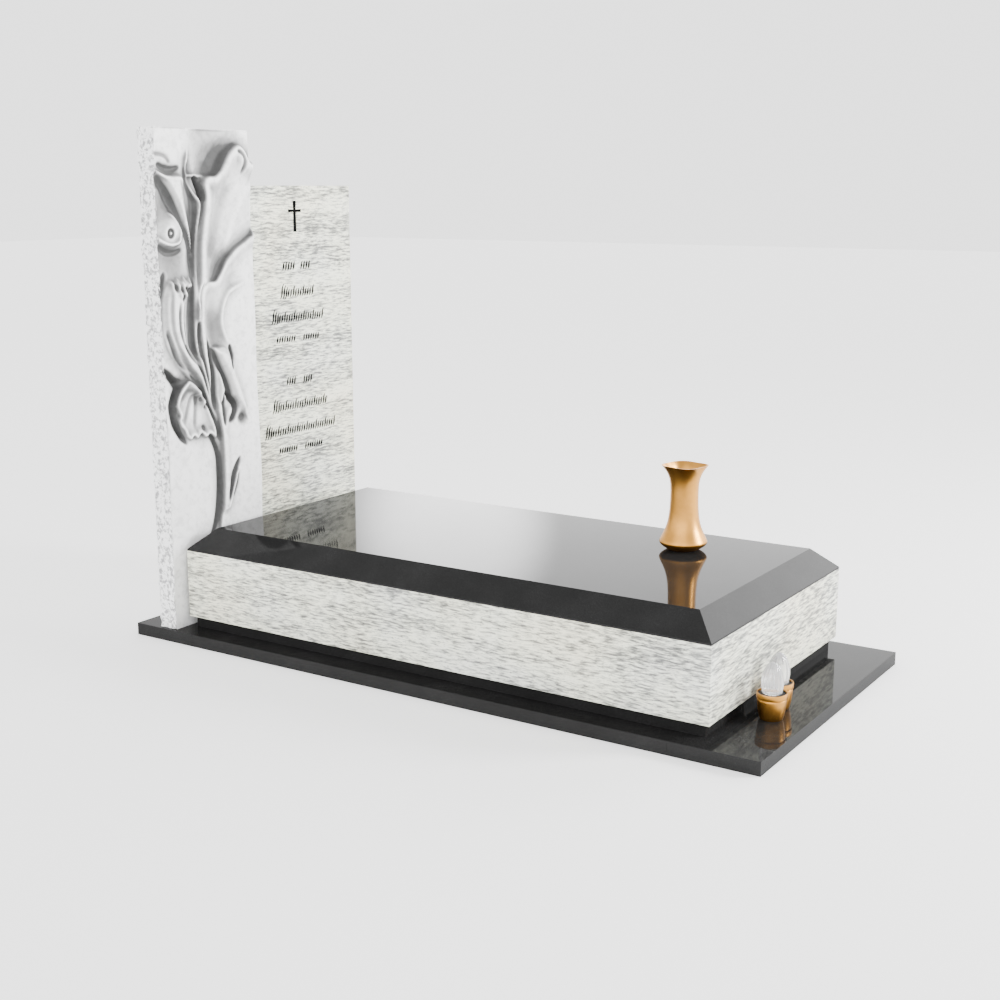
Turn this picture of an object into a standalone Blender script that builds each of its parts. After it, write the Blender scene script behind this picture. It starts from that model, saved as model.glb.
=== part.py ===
"""Single grave monument of granite with a tall slab carved with lilies, an inscription slab,
a bevelled cover, a bronze vase and two candle lamps. Metres, +Z up, the foot end at -Y."""
import math

import bmesh
import bpy
import numpy as np
from mathutils import Vector, noise

# Clearance between neighbouring stones
GAP = 0.0003

# Base slabs on the ground
BASE_THICK = 0.0385
SIDE_LEDGE = 0.060
FOOT_LEDGE = 0.167
HEAD_LEDGE = 0.092
FOOT_SLAB_DEPTH = 0.254
HEAD_SLAB_DEPTH = 0.330
SIDE_STRIP_WIDTH = 0.150

# Recessed plinth under the surround
PLINTH_HEIGHT = 0.0362
PLINTH_RECESS = 0.016
PLINTH_WIDTH = 0.060

# Surround of four upright panels
SURROUND_WIDTH = 0.900
SURROUND_LENGTH = 1.793
SURROUND_HEIGHT = 0.2126
PANEL_THICK = 0.048

# Cover slab
COVER_THICK = 0.0666
COVER_SIDE_BEVEL = 0.070
COVER_END_BEVEL = 0.067
COVER_ARRIS = 0.0045

# Tall carved slab and inscription slab behind the surround
HEAD_SPACE = 0.015
CARVED_WIDTH = 0.405
CARVED_HEIGHT = 1.5365
CARVED_THICK = 0.067
CARVED_OVERHANG = 0.048
INSCRIPTION_HEIGHT = 1.3675
INSCRIPTION_THICK = 0.050
INSCRIPTION_LAP = 0.060
ENGRAVING_DEPTH = 0.0018
STROKE_SPACING = 0.019
STROKE_WIDTH = 0.0052
CROSS_LENGTH = 0.103
CROSS_SPAN = 0.067
CROSS_POST = 0.013
CROSS_BAR = 0.0075
CROSS_FROM_TOP = 0.050

# Relief and rock face of the carved slab
CARVING_COLUMNS = 84
CARVING_ROWS = 250
SIDE_COLUMNS = 6
CARVED_TRIANGLES = 5900
ROCK_DEPTH = 0.0045
ROCK_GRAIN = 0.060

# Bronze vase
VASE_X = 0.172
VASE_FROM_FOOT = 0.382
VASE_HEIGHT = 0.252
VASE_WALL = 0.003
VASE_FLOOR = 0.012
VASE_LIP_WAVE = 0.09
VASE_SIDES = 20

# Candle lamps on the foot ledge
LAMP_X = (-0.215, -0.128)
LAMP_FROM_FOOT_EDGE = (0.097, 0.115)
CUP_HEIGHT = 0.072
CUP_RADIUS = 0.0405
CUP_WALL = 0.003
CUP_FLOOR = 0.005
SOCKET_THICK = 0.006
SOCKET_DROP = 0.004
FLAME_HEIGHT = 0.086
FLAME_RADIUS = 0.029
FLAME_RIBS = 8
LAMP_SIDES = 16

# Places worked out from the sizes above
BASE_WIDTH = SURROUND_WIDTH + 2 * SIDE_LEDGE
BASE_LENGTH = FOOT_LEDGE + SURROUND_LENGTH + HEAD_SPACE + CARVED_THICK + HEAD_LEDGE
FOOT_EDGE = -BASE_LENGTH / 2
SURROUND_FOOT = FOOT_EDGE + FOOT_LEDGE
SURROUND_HEAD = SURROUND_FOOT + SURROUND_LENGTH
CARVED_FACE = SURROUND_HEAD + HEAD_SPACE
CARVED_LEFT = -SURROUND_WIDTH / 2 - CARVED_OVERHANG
CARVED_RIGHT = CARVED_LEFT + CARVED_WIDTH
INSCRIPTION_LEFT = CARVED_RIGHT - INSCRIPTION_LAP
INSCRIPTION_RIGHT = -CARVED_LEFT
INSCRIPTION_FACE = CARVED_FACE + CARVED_THICK + GAP
INSCRIPTION_TOP = BASE_THICK + INSCRIPTION_HEIGHT
TEXT_MIDDLE = (CARVED_RIGHT + INSCRIPTION_RIGHT) / 2
ON_BASE = BASE_THICK + GAP
SURROUND_BOTTOM = BASE_THICK + PLINTH_HEIGHT
SURROUND_TOP = SURROUND_BOTTOM + SURROUND_HEIGHT
COVER_BOTTOM = SURROUND_TOP + GAP
COVER_TOP = SURROUND_TOP + COVER_THICK


def material(name, colour, roughness, metallic=0.0, transmission=0.0):
    made = bpy.data.materials.new(name)
    made.use_nodes = True
    shader = made.node_tree.nodes["Principled BSDF"]
    shader.inputs["Base Color"].default_value = (*colour, 1.0)
    shader.inputs["Roughness"].default_value = roughness
    shader.inputs["Metallic"].default_value = metallic
    shader.inputs["Transmission Weight"].default_value = transmission
    return made


def finish_object(name, mesh_data, surface, smooth=False):
    mesh = bpy.data.meshes.new(name)
    mesh_data.to_mesh(mesh)
    mesh_data.free()
    mesh.materials.append(surface)
    if smooth:
        mesh.shade_smooth()
        mesh.set_sharp_from_angle(angle=math.radians(40))
    made = bpy.data.objects.new(name, mesh)
    bpy.context.scene.collection.objects.link(made)
    return made


def block(name, low, high, surface):
    """A rectangular stone between two corners."""
    shape = bmesh.new()
    bmesh.ops.create_cube(shape, size=1.0)
    middle = (Vector(low) + Vector(high)) / 2
    size = Vector(high) - Vector(low)
    for vertex in shape.verts:
        vertex.co = Vector((vertex.co.x * size.x, vertex.co.y * size.y, vertex.co.z * size.z)) + middle
    return finish_object(name, shape, surface)


def ring_frame(prefix, half_width, foot, head, side_width, foot_depth, head_depth, low, high, surface):
    """Four stones round an open middle: a full-width foot stone, two sides, the head between them."""
    inner = half_width - side_width
    foot_joint = foot + foot_depth
    block(prefix + "_foot", (-half_width, foot, low), (half_width, foot_joint, high), surface)
    for side, name in ((-1, "_left"), (1, "_right")):
        edges = sorted((side * half_width, side * inner))
        block(prefix + name, (edges[0], foot_joint + GAP, low), (edges[1], head, high), surface)
    block(prefix + "_head", (-inner + GAP, head - head_depth, low), (inner - GAP, head, high), surface)


def cover_slab(surface):
    """A slab with a short upright arris and a wide bevel on all four sides."""
    shape = bmesh.new()
    half = SURROUND_WIDTH / 2
    levels = (
        (COVER_BOTTOM, 0.0, 0.0),
        (COVER_BOTTOM + COVER_ARRIS, 0.0, 0.0),
        (COVER_TOP, COVER_SIDE_BEVEL, COVER_END_BEVEL),
    )
    rings = []
    for height, side, end in levels:
        corners = (
            (-half + side, SURROUND_FOOT + end),
            (half - side, SURROUND_FOOT + end),
            (half - side, SURROUND_HEAD - end),
            (-half + side, SURROUND_HEAD - end),
        )
        rings.append([shape.verts.new((x, y, height)) for x, y in corners])
    shape.faces.new(rings[0][::-1])
    shape.faces.new(rings[-1])
    for lower, upper in zip(rings, rings[1:]):
        for i in range(4):
            shape.faces.new((lower[i], lower[(i + 1) % 4], upper[(i + 1) % 4], upper[i]))
    return finish_object("cover_slab", shape, surface)


# The relief is one height over the face. Its places are percent of the slab's width and height.
def smoothstep(value):
    value = np.clip(value, 0.0, 1.0)
    return value * value * (3.0 - 2.0 * value)


def rounded_path(knots, closed=False, steps=5):
    """Points in metres on a smooth curve through knots given in percent, with any third value kept."""
    scale = np.ones(len(knots[0]))
    scale[0] = CARVED_WIDTH / 100.0
    scale[1] = CARVED_HEIGHT / 100.0
    points = np.array(knots, float) * scale
    count = len(points)
    spans = count if closed else count - 1
    path = []
    for i in range(spans):
        if closed:
            before, start, end, after = (points[(i + k) % count] for k in (-1, 0, 1, 2))
        else:
            before, start = points[max(i - 1, 0)], points[i]
            end, after = points[i + 1], points[min(i + 2, count - 1)]
        for step in range(steps):
            t = step / steps
            bend = (2 * start + (end - before) * t + (2 * before - 5 * start + 4 * end - after) * t ** 2
                    + (3 * start - before - 3 * end + after) * t ** 3)
            path.append(bend / 2)
    if not closed:
        path.append(points[-1])
    return np.array(path)


def nearest(x, z, path, closed=False):
    """Distance from each point to a path, the path's third value there and the share passed."""
    best = np.full(x.shape, 1e9)
    value = np.zeros(x.shape)
    share = np.zeros(x.shape)
    ends = np.roll(path, -1, axis=0) if closed else path[1:]
    for i, (start, end) in enumerate(zip(path, ends)):
        step = end - start
        length = max(step[0] ** 2 + step[1] ** 2, 1e-12)
        t = np.clip(((x - start[0]) * step[0] + (z - start[1]) * step[1]) / length, 0.0, 1.0)
        distance = np.hypot(x - start[0] - t * step[0], z - start[1] - t * step[1])
        closer = distance < best
        best = np.where(closer, distance, best)
        share = np.where(closer, (i + t) / len(ends), share)
        if len(start) > 2:
            value = np.where(closer, start[2] + t * step[2], value)
    return best, value, share


def depth_inside(x, z, knots):
    """Distance inward from a closed outline, negative outside it."""
    path = rounded_path(knots, closed=True)
    distance, _, _ = nearest(x, z, path, closed=True)
    inside = np.zeros(x.shape, bool)
    for start, end in zip(path, np.roll(path, -1, axis=0)):
        crosses = (start[1] > z) != (end[1] > z)
        rise = end[1] - start[1]
        at = start[0] + (z - start[1]) / (rise if abs(rise) > 1e-12 else 1e-12) * (end[0] - start[0])
        inside ^= crosses & (x < at)
    return np.where(inside, distance, -distance)


def petal(height, x, z, knots, level, rim=0.0, reach=0.02, crown=0.0, shoulder=0.006):
    """Lay a petal over the relief: a steep edge, a rolled rim that dies away inward, a full middle."""
    depth = depth_inside(x, z, knots)
    inward = np.maximum(depth, 0.0)
    crest = 0.3 * reach
    spread = np.where(inward < crest, 0.4 * reach, 0.7 * reach)
    rolled = rim * np.exp(-((inward - crest) / spread) ** 2)
    surface = level + rolled + crown * smoothstep(inward / (2.0 * reach))
    return height + (surface - height) * smoothstep(depth / shoulder + 0.35)


def swell(height, x, z, centre, size, amount, turn=0.0):
    """Raise or sink a soft oval; the centre and half widths are percent, the turn is in degrees."""
    across = x - centre[0] * CARVED_WIDTH / 100.0
    along = z - centre[1] * CARVED_HEIGHT / 100.0
    angle = math.radians(turn)
    first = (across * math.cos(angle) + along * math.sin(angle)) / (size[0] * CARVED_WIDTH / 100.0)
    second = (along * math.cos(angle) - across * math.sin(angle)) / (size[1] * CARVED_HEIGHT / 100.0)
    return height + amount * np.exp(-first ** 2 - second ** 2)


def line(height, x, z, knots, amount, fade=0.2):
    """Raise a ridge or sink a groove that dies away at both ends; third values are half widths in mm."""
    distance, width, share = nearest(x, z, rounded_path(knots))
    width = np.maximum(width * 0.001, 1e-4)
    fading = smoothstep(share / fade) * smoothstep((1.0 - share) / fade)
    return height + amount * fading * np.exp(-(distance / width) ** 2)


def carve_ground(x, z):
    """The stone behind the flowers: slow waves, with the deepest hollow over the great flower."""
    u = x / CARVED_WIDTH
    v = z / CARVED_HEIGHT
    height = 0.0018 * np.sin(9.0 * u + 5.0 * v) + 0.0016 * np.sin(21.0 * v - 4.0 * u)
    height = swell(height, x, z, (62, 94.2), (17, 3.3), -0.021, 32)
    height = swell(height, x, z, (46, 98), (12, 5.0), -0.006)
    height = swell(height, x, z, (33, 91.4), (4.5, 3.0), -0.008)
    height = swell(height, x, z, (35, 78), (4.5, 8.0), -0.014)
    height = swell(height, x, z, (9, 85), (10, 4.0), -0.009, -24)
    height = swell(height, x, z, (15, 74.2), (15, 2.6), -0.012)
    height = swell(height, x, z, (26, 28), (20, 12), 0.007)
    height = swell(height, x, z, (14, 97.4), (16, 3), 0.004)
    return line(height, x, z, ((-3, 95, 6), (7, 94.8, 6), (12.6, 94.2, 6), (16, 93, 5)), -0.004)


def carve_upper_flower(height, x, z):
    """The great open flower at the upper right, with the twisted edge of its leaf at the left."""
    hollow = ((34, 94.4, 5), (31.6, 91.8, 6), (33, 89, 6), (36.6, 86.8, 7), (38.6, 84.6, 8),
              (38.4, 81, 8), (36.8, 77, 8), (35.2, 73, 7), (34.4, 70, 5))
    height = line(height, x, z, hollow, -0.010)
    outline = ((36.5, 62), (37.5, 68), (38.8, 71.5), (40, 76), (41.8, 79.3), (43.6, 82), (45.6, 84.4),
               (46.4, 86.6), (45.4, 88.8), (47.4, 90.4), (53.3, 91), (58.7, 91.2), (63.2, 92),
               (66.8, 93.3), (70.4, 94.9), (75.1, 96.2), (79.6, 97), (84.1, 97.4), (89, 97), (94, 95.8),
               (99, 94), (112, 92), (112, 70), (60, 60))
    height = petal(height, x, z, outline, 0.000, rim=0.020, reach=0.048, shoulder=0.010)
    height = swell(height, x, z, (83, 92.8), (12, 5.0), 0.010, 20)
    height = swell(height, x, z, (63, 74), (11, 6.0), -0.011, 40)
    height = line(height, x, z, ((52, 74, 18), (62, 82, 22), (76, 90, 20)), -0.004)
    height = line(height, x, z, ((68, 75, 14), (84, 84, 20), (100, 90, 16)), 0.004)
    height = line(height, x, z, ((81, 96, 4), (87, 95.6, 6), (91, 94.6, 6), (91.2, 93, 6), (88, 91, 4)),
                  -0.008)
    height = line(height, x, z, ((32, 90.9, 4), (38, 90.9, 5), (46, 90.8, 6), (56, 91, 6)), 0.007)
    height = line(height, x, z, ((39.4, 91, 4), (42.6, 89.4, 7), (45.4, 87.6, 7), (46.4, 85.6, 4)),
                  -0.026)
    edge = ((35, 96.4, 4), (32.4, 93.6, 5), (32.4, 91.2, 5), (33.4, 89.2, 6), (38, 87.2, 6),
            (42, 86.1, 6), (42.8, 84.8, 6), (40.4, 81.6, 6), (38.4, 77.6, 6), (37.2, 73.4, 6),
            (36.6, 68.5, 6), (36.4, 63, 6), (37, 58, 5))
    return line(height, x, z, edge, 0.011, 0.08)


def carve_lower_flower(height, x, z):
    """The second open flower at the right; its rolled rim runs on down as the long curved main stem."""
    height = line(height, x, z, ((43.4, 70.4, 4), (40, 67.8, 6), (38, 64.8, 6), (37.3, 61.5, 5),
                                 (37.6, 57, 3)), -0.012)
    outline = ((40.6, 68.7), (46.9, 70), (55.7, 70.2), (60.3, 71.2), (63.9, 72.4), (67.6, 73.9),
               (72.3, 75.1), (77.5, 76.2), (82.7, 77), (89.1, 77.8), (98, 79), (112, 80), (112, -10),
               (42, -10), (46, 10), (49.6, 16), (52, 19.6), (53.8, 22), (55.1, 24.6), (56.1, 27.7),
               (56.5, 30.9), (56.7, 34), (56.6, 36.8), (55.4, 39.8), (53.6, 42.4), (51, 45), (48, 47.6),
               (45, 50), (42.2, 52.4), (40.2, 54.8), (38.8, 57.4), (37.9, 60), (37.7, 62.8), (38.4, 65.4))
    height = petal(height, x, z, outline, 0.007, rim=0.013, reach=0.034, shoulder=0.010)
    height = swell(height, x, z, (53.4, 60.4), (8.5, 5.5), -0.013, 8)
    height = swell(height, x, z, (72, 70.6), (14, 2.8), -0.006, 24)
    height = swell(height, x, z, (86, 62), (18, 9), 0.005)
    height = swell(height, x, z, (94, 30), (28, 13), 0.008)
    throat = ((94, 69.6, 8), (73, 68, 10), (64.4, 65.4, 10), (61.8, 62.4, 10), (63.2, 59.8, 10),
              (70, 56.4, 7))
    return line(height, x, z, throat, 0.008)


def carve_side_flower(height, x, z):
    """The small trumpet flower at the upper left with its curled lip, and the bud under it."""
    shadow = ((-6, 94, 8), (0, 90.4, 8), (6.4, 88.7, 9), (11, 87.1, 9), (15.4, 85.2, 9), (20, 83.1, 8),
              (25, 80.9, 7), (29.8, 78.4, 6), (34, 75.4, 5))
    height = line(height, x, z, shadow, -0.012)
    outline = ((36, 74.8), (33.2, 77.6), (29.6, 80.2), (25, 82.5), (20.3, 84.5), (16.6, 86.2), (13, 87.7),
               (8.3, 89.3), (2.7, 90.8), (-4, 92.6), (4, 91.6), (10, 91), (15, 91), (20, 91.1), (25, 91),
               (27.4, 89.4), (28.8, 86.4), (30.4, 83.4), (32.6, 80.4), (35.4, 76.8))
    height = petal(height, x, z, outline, 0.005, reach=0.011, crown=0.014, shoulder=0.007)
    height = line(height, x, z, ((-4, 92, 6), (6, 90.9, 7), (15, 90.5, 8), (24, 90.4, 8), (29, 88.4, 5)),
                  0.008)
    height = line(height, x, z, ((2, 93.2, 5), (9, 92.3, 8), (18, 92, 8), (26, 92.6, 5)), -0.009)
    height = swell(height, x, z, (13, 80.2), (8.5, 2.6), 0.013)
    centre_x = 0.130 * CARVED_WIDTH
    centre_z = 0.798 * CARVED_HEIGHT
    from_centre = np.hypot(x - centre_x, 0.85 * (z - centre_z))
    height = height - 0.012 * np.exp(-((from_centre - 0.0085) / 0.0042) ** 2)
    height = line(height, x, z, ((11, 84, 4), (19, 82.6, 5), (23.6, 80.4, 5), (22, 78.2, 5)), 0.006)
    height = line(height, x, z, ((-6, 80, 5), (2, 78.5, 7), (11, 77.6, 7), (19, 77.8, 6), (25, 78.8, 4)),
                  0.010)
    return line(height, x, z, ((-2, 77.8, 6), (8, 76.2, 8), (18, 76, 8), (25, 76.8, 5)), -0.008)


def carve_middle_flower(height, x, z):
    """The frilled flower at the left, whose folds run down into the bundle of stems."""
    height = line(height, x, z, ((7, 72.6, 6), (2, 69.8, 8), (-1.6, 66.4, 8), (-2, 63, 7), (-1.6, 60, 5)),
                  -0.015)
    outline = ((9.6, 70.8), (6.2, 69.9), (3.2, 68.7), (1.4, 67.2), (0.6, 65.2), (0.5, 63.2), (0.8, 60.8),
               (4, 57.8), (10.5, 55.2), (18, 52.8), (26, 50.6), (34, 48.2), (41, 45.4), (48, 42.2),
               (54, 38.8), (57, 38), (55, 41), (51, 44.6), (47, 48), (43, 51.2), (40, 54), (35.4, 55.4),
               (30.6, 56), (27, 57.4), (25.6, 60), (25.8, 62.8), (26.6, 64.8), (27.6, 66.7), (29.2, 68.2),
               (32, 69.6), (30.5, 71.2), (27, 70.6), (24, 71.4), (20.8, 70.5), (17.5, 71.2), (14, 70.4))
    height = petal(height, x, z, outline, 0.003, reach=0.018, crown=0.014, shoulder=0.009)
    recess = ((34, 71, 4), (32, 68, 7), (31, 64.6, 8), (30.6, 61, 8), (31, 57.8, 8), (33.4, 54.8, 6),
              (38, 52, 4))
    height = line(height, x, z, recess, -0.022)
    for u, v, radius in ((10.9, 70, 1.8), (16, 69.9, 2.0), (21.4, 70.1, 2.0), (26.4, 69.8, 2.0),
                         (30.4, 69.4, 1.7), (22.6, 67.8, 1.8), (16.6, 67.8, 1.6)):
        height = swell(height, x, z, (u, v), (radius, 0.45 * radius), 0.0042 * radius, 20)
    for u, v in ((13.4, 69.2), (18.8, 68.8), (24, 68.8), (28.2, 68.4), (19.6, 67.2)):
        height = swell(height, x, z, (u, v), (1.5, 0.6), -0.013)
    folds = (
        ((9, 69.4, 5), (7.6, 64.6, 6), (8.6, 60.4, 6), (15, 56.6, 5), (25, 53.4, 4)),
        ((16, 67, 5), (14.6, 63.4, 5), (15.4, 60.4, 5), (20, 57.4, 5), (29, 54.2, 4)),
        ((21.6, 66.6, 4), (19.8, 64, 5), (20, 61.4, 5), (23, 58.6, 4)),
    )
    for knots in folds:
        height = line(height, x, z, knots, -0.007)
    return height


def carve_leaf(height, x, z):
    """The drooping leaf at the lower left, its ragged edge standing clear over a dark gap."""
    gap = ((-4, 54, 5), (4, 52.4, 8), (11, 50.6, 10), (14, 49.6, 10), (9.6, 47.6, 10), (6.8, 45.8, 10),
           (7.6, 44, 10), (8.4, 42.4, 9), (11.4, 40.8, 8), (15.4, 39.2, 7), (21, 37.6, 4))
    height = line(height, x, z, gap, -0.024, 0.12)
    height = swell(height, x, z, (14.6, 50.2), (5, 0.9), -0.010)
    outline = ((24.8, 50.7), (20.9, 50.2), (17, 49.4), (13.6, 48.4), (11.2, 47.2), (9.9, 45.9),
               (10.9, 44.9), (12.9, 43.8), (11.5, 42.9), (13.4, 41.6), (16.8, 40.6), (19.4, 39.2),
               (24.1, 38.4), (27, 39.1), (31, 38.4), (35, 39.4), (39.6, 38.4), (45, 38.8), (51, 37.8),
               (51, 40.8), (47, 42.8), (43, 45), (38, 47.4), (32, 49.4))
    height = petal(height, x, z, outline, 0.001, rim=0.013, reach=0.014, shoulder=0.008)
    height = swell(height, x, z, (33.8, 47.8), (2.6, 0.6), 0.007, -25)
    height = swell(height, x, z, (38, 45.7), (1.9, 0.7), 0.008)
    height = swell(height, x, z, (31.4, 46.6), (1.7, 0.9), -0.007)
    height = swell(height, x, z, (36, 46.5), (1.2, 0.5), -0.010)
    height = swell(height, x, z, (40.4, 44.9), (1.3, 0.6), -0.010)
    height = swell(height, x, z, (38.4, 40.4), (2.2, 0.5), -0.010, -20)
    height = swell(height, x, z, (33, 40.2), (2.4, 0.6), 0.005, 20)
    for tip, bend in (((14, 46.2), 1.6), ((18, 41.6), 2.2), ((29, 40.4), 1.2)):
        middle = (0.5 * (tip[0] + 34), 0.5 * (tip[1] + 47.6) + bend)
        height = line(height, x, z, ((*tip, 6), (*middle, 7), (34, 47.6, 4)), -0.004)
    return line(height, x, z, ((34, 49.4, 4), (41, 46.6, 6), (47, 43.6, 7), (52.4, 40.4, 7),
                               (57, 36.8, 4)), -0.012)


def carve_bundle(height, x, z):
    """Slender stems gathering into the main stem: the grooves between them, and the outermost stem."""
    grooves = (
        ((3, 61.4, 4), (7.4, 58.2, 5), (13.4, 55, 5), (22, 52.6, 4)),
        ((19, 58, 4), (25.6, 56, 6), (32, 53.8, 6), (39, 50.6, 4)),
        ((12, 56.8, 3), (24, 53, 5), (33, 50.4, 5), (42, 47.2, 5), (52, 42.6, 3)),
        ((32, 54.6, 3), (37.6, 51.6, 5), (42, 49.2, 6), (47, 46.4, 6), (53, 42.4, 4)),
        ((24, 52.2, 3), (33, 49.6, 4), (42, 46.2, 4), (50, 42.4, 3)),
    )
    for knots in grooves:
        height = line(height, x, z, knots, -0.009)
    outer = ((35, 71, 5), (36.4, 66, 6), (36.6, 61, 7), (37.4, 57, 7), (40.4, 53.6, 7), (44.6, 49.6, 7),
             (49.6, 45.4, 7), (54, 41, 7))
    return line(height, x, z, outer, 0.006)


def carve_small_petals(height, x, z):
    """Half-open petals right of the stems, with dark throats."""
    right = ((51, 56.4), (57.6, 56.7), (64.3, 56.5), (70.8, 54.9), (74.8, 52.4), (78.9, 49.8), (83.4, 47),
             (87.6, 43.9), (90, 40), (85.8, 40.8), (79.8, 42.8), (74.3, 44.4), (70.6, 46), (66.6, 48.6),
             (62.6, 51), (57, 53.3))
    height = petal(height, x, z, right, 0.010, reach=0.013, crown=0.009, shoulder=0.010)
    left = ((50, 56), (54.2, 53.9), (56.2, 51.7), (55.4, 49.3), (53.8, 47.3), (54.6, 45.6), (58, 44.6),
            (64.6, 46), (62.4, 48.2), (60, 50.4), (57.4, 52.6), (54.6, 54.8))
    height = petal(height, x, z, left, 0.010, reach=0.010, crown=0.008, shoulder=0.008)
    height = line(height, x, z, ((45, 59, 4), (47.4, 55.6, 9), (49.6, 52.6, 11), (50.4, 49.6, 11),
                                 (51, 46.6, 8), (53, 43.4, 4)), -0.028)
    height = line(height, x, z, ((49.6, 57, 3), (54.6, 54, 6), (59, 51.6, 7), (63.4, 49.2, 8),
                                 (66.8, 47, 7), (70, 44.4, 4)), -0.015)
    throat = ((60, 47.6, 5), (66.5, 46, 8), (71.2, 44.8, 10), (73.4, 43.2, 10), (70.6, 41.8, 9),
              (65, 40.6, 5))
    height = line(height, x, z, throat, -0.022)
    height = line(height, x, z, ((60.4, 47.4, 4), (59.4, 43.8, 7), (60.6, 40, 5)), -0.013)
    height = swell(height, x, z, (65.4, 43.1), (3.0, 1.3), 0.009, -20)
    height = swell(height, x, z, (81.6, 41.2), (4.5, 1.3), -0.013, -40)
    return line(height, x, z, ((69.6, 57, 3), (71.4, 54.4, 6), (71, 51.6, 3)), -0.015)


def carve_lower_stems(height, x, z):
    """The undercut left of the main stem, and the thin stem that leaves it at the right."""
    undercut = ((39, 40.4, 4), (46, 38.2, 8), (50.2, 36.4, 9), (52.6, 34.2, 10), (53.4, 31.6, 11),
                (53.2, 28.4, 12), (52.2, 25.6, 12), (50.6, 23, 12), (48, 20.4, 11), (43, 17.4, 9),
                (38, 15, 6))
    height = line(height, x, z, undercut, -0.021)
    height = line(height, x, z, ((77, 33.4, 4), (71.7, 30.9, 8), (67.6, 29.1, 8), (65, 27, 6),
                                 (61, 23.6, 4)), -0.014)
    height = line(height, x, z, ((75.4, 32, 4), (72, 29.2, 6), (68.4, 27.2, 6), (64.5, 25, 7),
                                 (58, 21.6, 6), (52, 17, 5)), 0.007)
    return line(height, x, z, ((74, 30.2, 3), (71, 27.4, 5), (66, 24.6, 3)), -0.007)


def carving(x, z):
    """Height of the relief in front of the slab's face, at x from its left edge and z from its foot."""
    height = carve_ground(x, z)
    height = carve_upper_flower(height, x, z)
    height = carve_lower_flower(height, x, z)
    height = carve_side_flower(height, x, z)
    height = carve_middle_flower(height, x, z)
    height = carve_leaf(height, x, z)
    height = carve_bundle(height, x, z)
    height = carve_small_petals(height, x, z)
    height = carve_lower_stems(height, x, z)
    cover_height = COVER_TOP - ON_BASE
    behind_cover = 0.011 + 0.05 * smoothstep((z - cover_height - 0.01) / 0.10)
    height = np.minimum(height, behind_cover)
    fade = smoothstep((z / CARVED_HEIGHT - 0.08) / 0.12)
    edge = smoothstep(x / 0.006) * smoothstep((CARVED_HEIGHT - z) / 0.006)
    return height * fade * (0.35 + 0.65 * edge)


def soften(height, passes):
    """Average each point with its neighbours, a few times over."""
    for _ in range(passes):
        padded = np.pad(height, 1, mode="edge")
        below_and_above = padded[:-2, 1:-1] + padded[2:, 1:-1]
        left_and_right = padded[1:-1, :-2] + padded[1:-1, 2:]
        height = 0.5 * height + 0.125 * (below_and_above + left_and_right)
    return height


def rock(y, z):
    """Split rock face: how far the left side stands out, in facets a few centimetres wide."""
    return ROCK_DEPTH * noise.noise(Vector((y, z, 0.37)) / ROCK_GRAIN, noise_basis="VORONOI_F2F1")


def carved_slab(surface):
    """The tall slab: relief in front, split rock at the left, plain elsewhere."""
    across = np.linspace(0.0, CARVED_WIDTH, CARVING_COLUMNS + 1)
    up = np.linspace(0.0, CARVED_HEIGHT, CARVING_ROWS + 1)
    grid_x, grid_z = np.meshgrid(across, up)
    relief = soften(carving(grid_x, grid_z), 1)
    shape = bmesh.new()
    rows = []
    for j, z in enumerate(up):
        row = []
        for k in range(SIDE_COLUMNS):
            y = CARVED_FACE + CARVED_THICK * (1 - k / SIDE_COLUMNS)
            row.append(shape.verts.new((CARVED_LEFT - rock(y, z), y, ON_BASE + z)))
        for i, x in enumerate(across):
            edge = rock(CARVED_FACE, z) if i == 0 else 0.0
            row.append(shape.verts.new((CARVED_LEFT + x - edge, CARVED_FACE - relief[j, i], ON_BASE + z)))
        row.append(shape.verts.new((CARVED_LEFT + CARVED_WIDTH, CARVED_FACE + CARVED_THICK, ON_BASE + z)))
        rows.append(row)
    count = len(rows[0])
    for lower, upper in zip(rows, rows[1:]):
        for i in range(count):
            n = (i + 1) % count
            shape.faces.new((lower[i], lower[n], upper[n], upper[i]))
    shape.faces.new(rows[0][::-1])
    shape.faces.new(rows[-1])
    bmesh.ops.triangulate(shape, faces=shape.faces[:])
    triangles = len(shape.faces)
    made = finish_object("carved_slab", shape, surface)
    thin = made.modifiers.new("thin out flat areas", "DECIMATE")
    thin.ratio = CARVED_TRIANGLES / triangles
    return made


def stroke_outline(x, z, height, width):
    """One engraved stroke: a slanted bar that widens upwards."""
    lean = height / 3
    foot = 0.5 * width
    head = 0.7 * width
    return ((x - foot, z), (x + foot, z), (x + lean + head, z + height), (x + lean - head, z + height))


def inscription_strokes():
    """Rows of plain slanted strokes in place of words; some rows are parted in the middle."""
    down_and_half_width_and_stroke_height_and_half_gap = (
        (0.266, 0.069, 0.028, 0.016),
        (0.357, 0.084, 0.027, 0.0),
        (0.441, 0.132, 0.027, 0.0),
        (0.512, 0.109, 0.022, 0.018),
        (0.657, 0.065, 0.028, 0.016),
        (0.743, 0.141, 0.027, 0.0),
        (0.827, 0.183, 0.027, 0.0),
        (0.892, 0.113, 0.022, 0.018),
    )
    outlines = []
    for down, half_width, tall, half_gap in down_and_half_width_and_stroke_height_and_half_gap:
        count = round(2 * half_width / STROKE_SPACING)
        for i in range(count):
            from_middle = -half_width + 2 * half_width * i / (count - 0.5)
            if abs(from_middle) < half_gap:
                continue
            grown = 1.6 if i == 0 and half_gap == 0.0 else 1.0
            foot = INSCRIPTION_TOP - down - tall / 2
            outlines.append(stroke_outline(TEXT_MIDDLE + from_middle, foot, tall * grown, STROKE_WIDTH))
    return outlines


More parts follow.
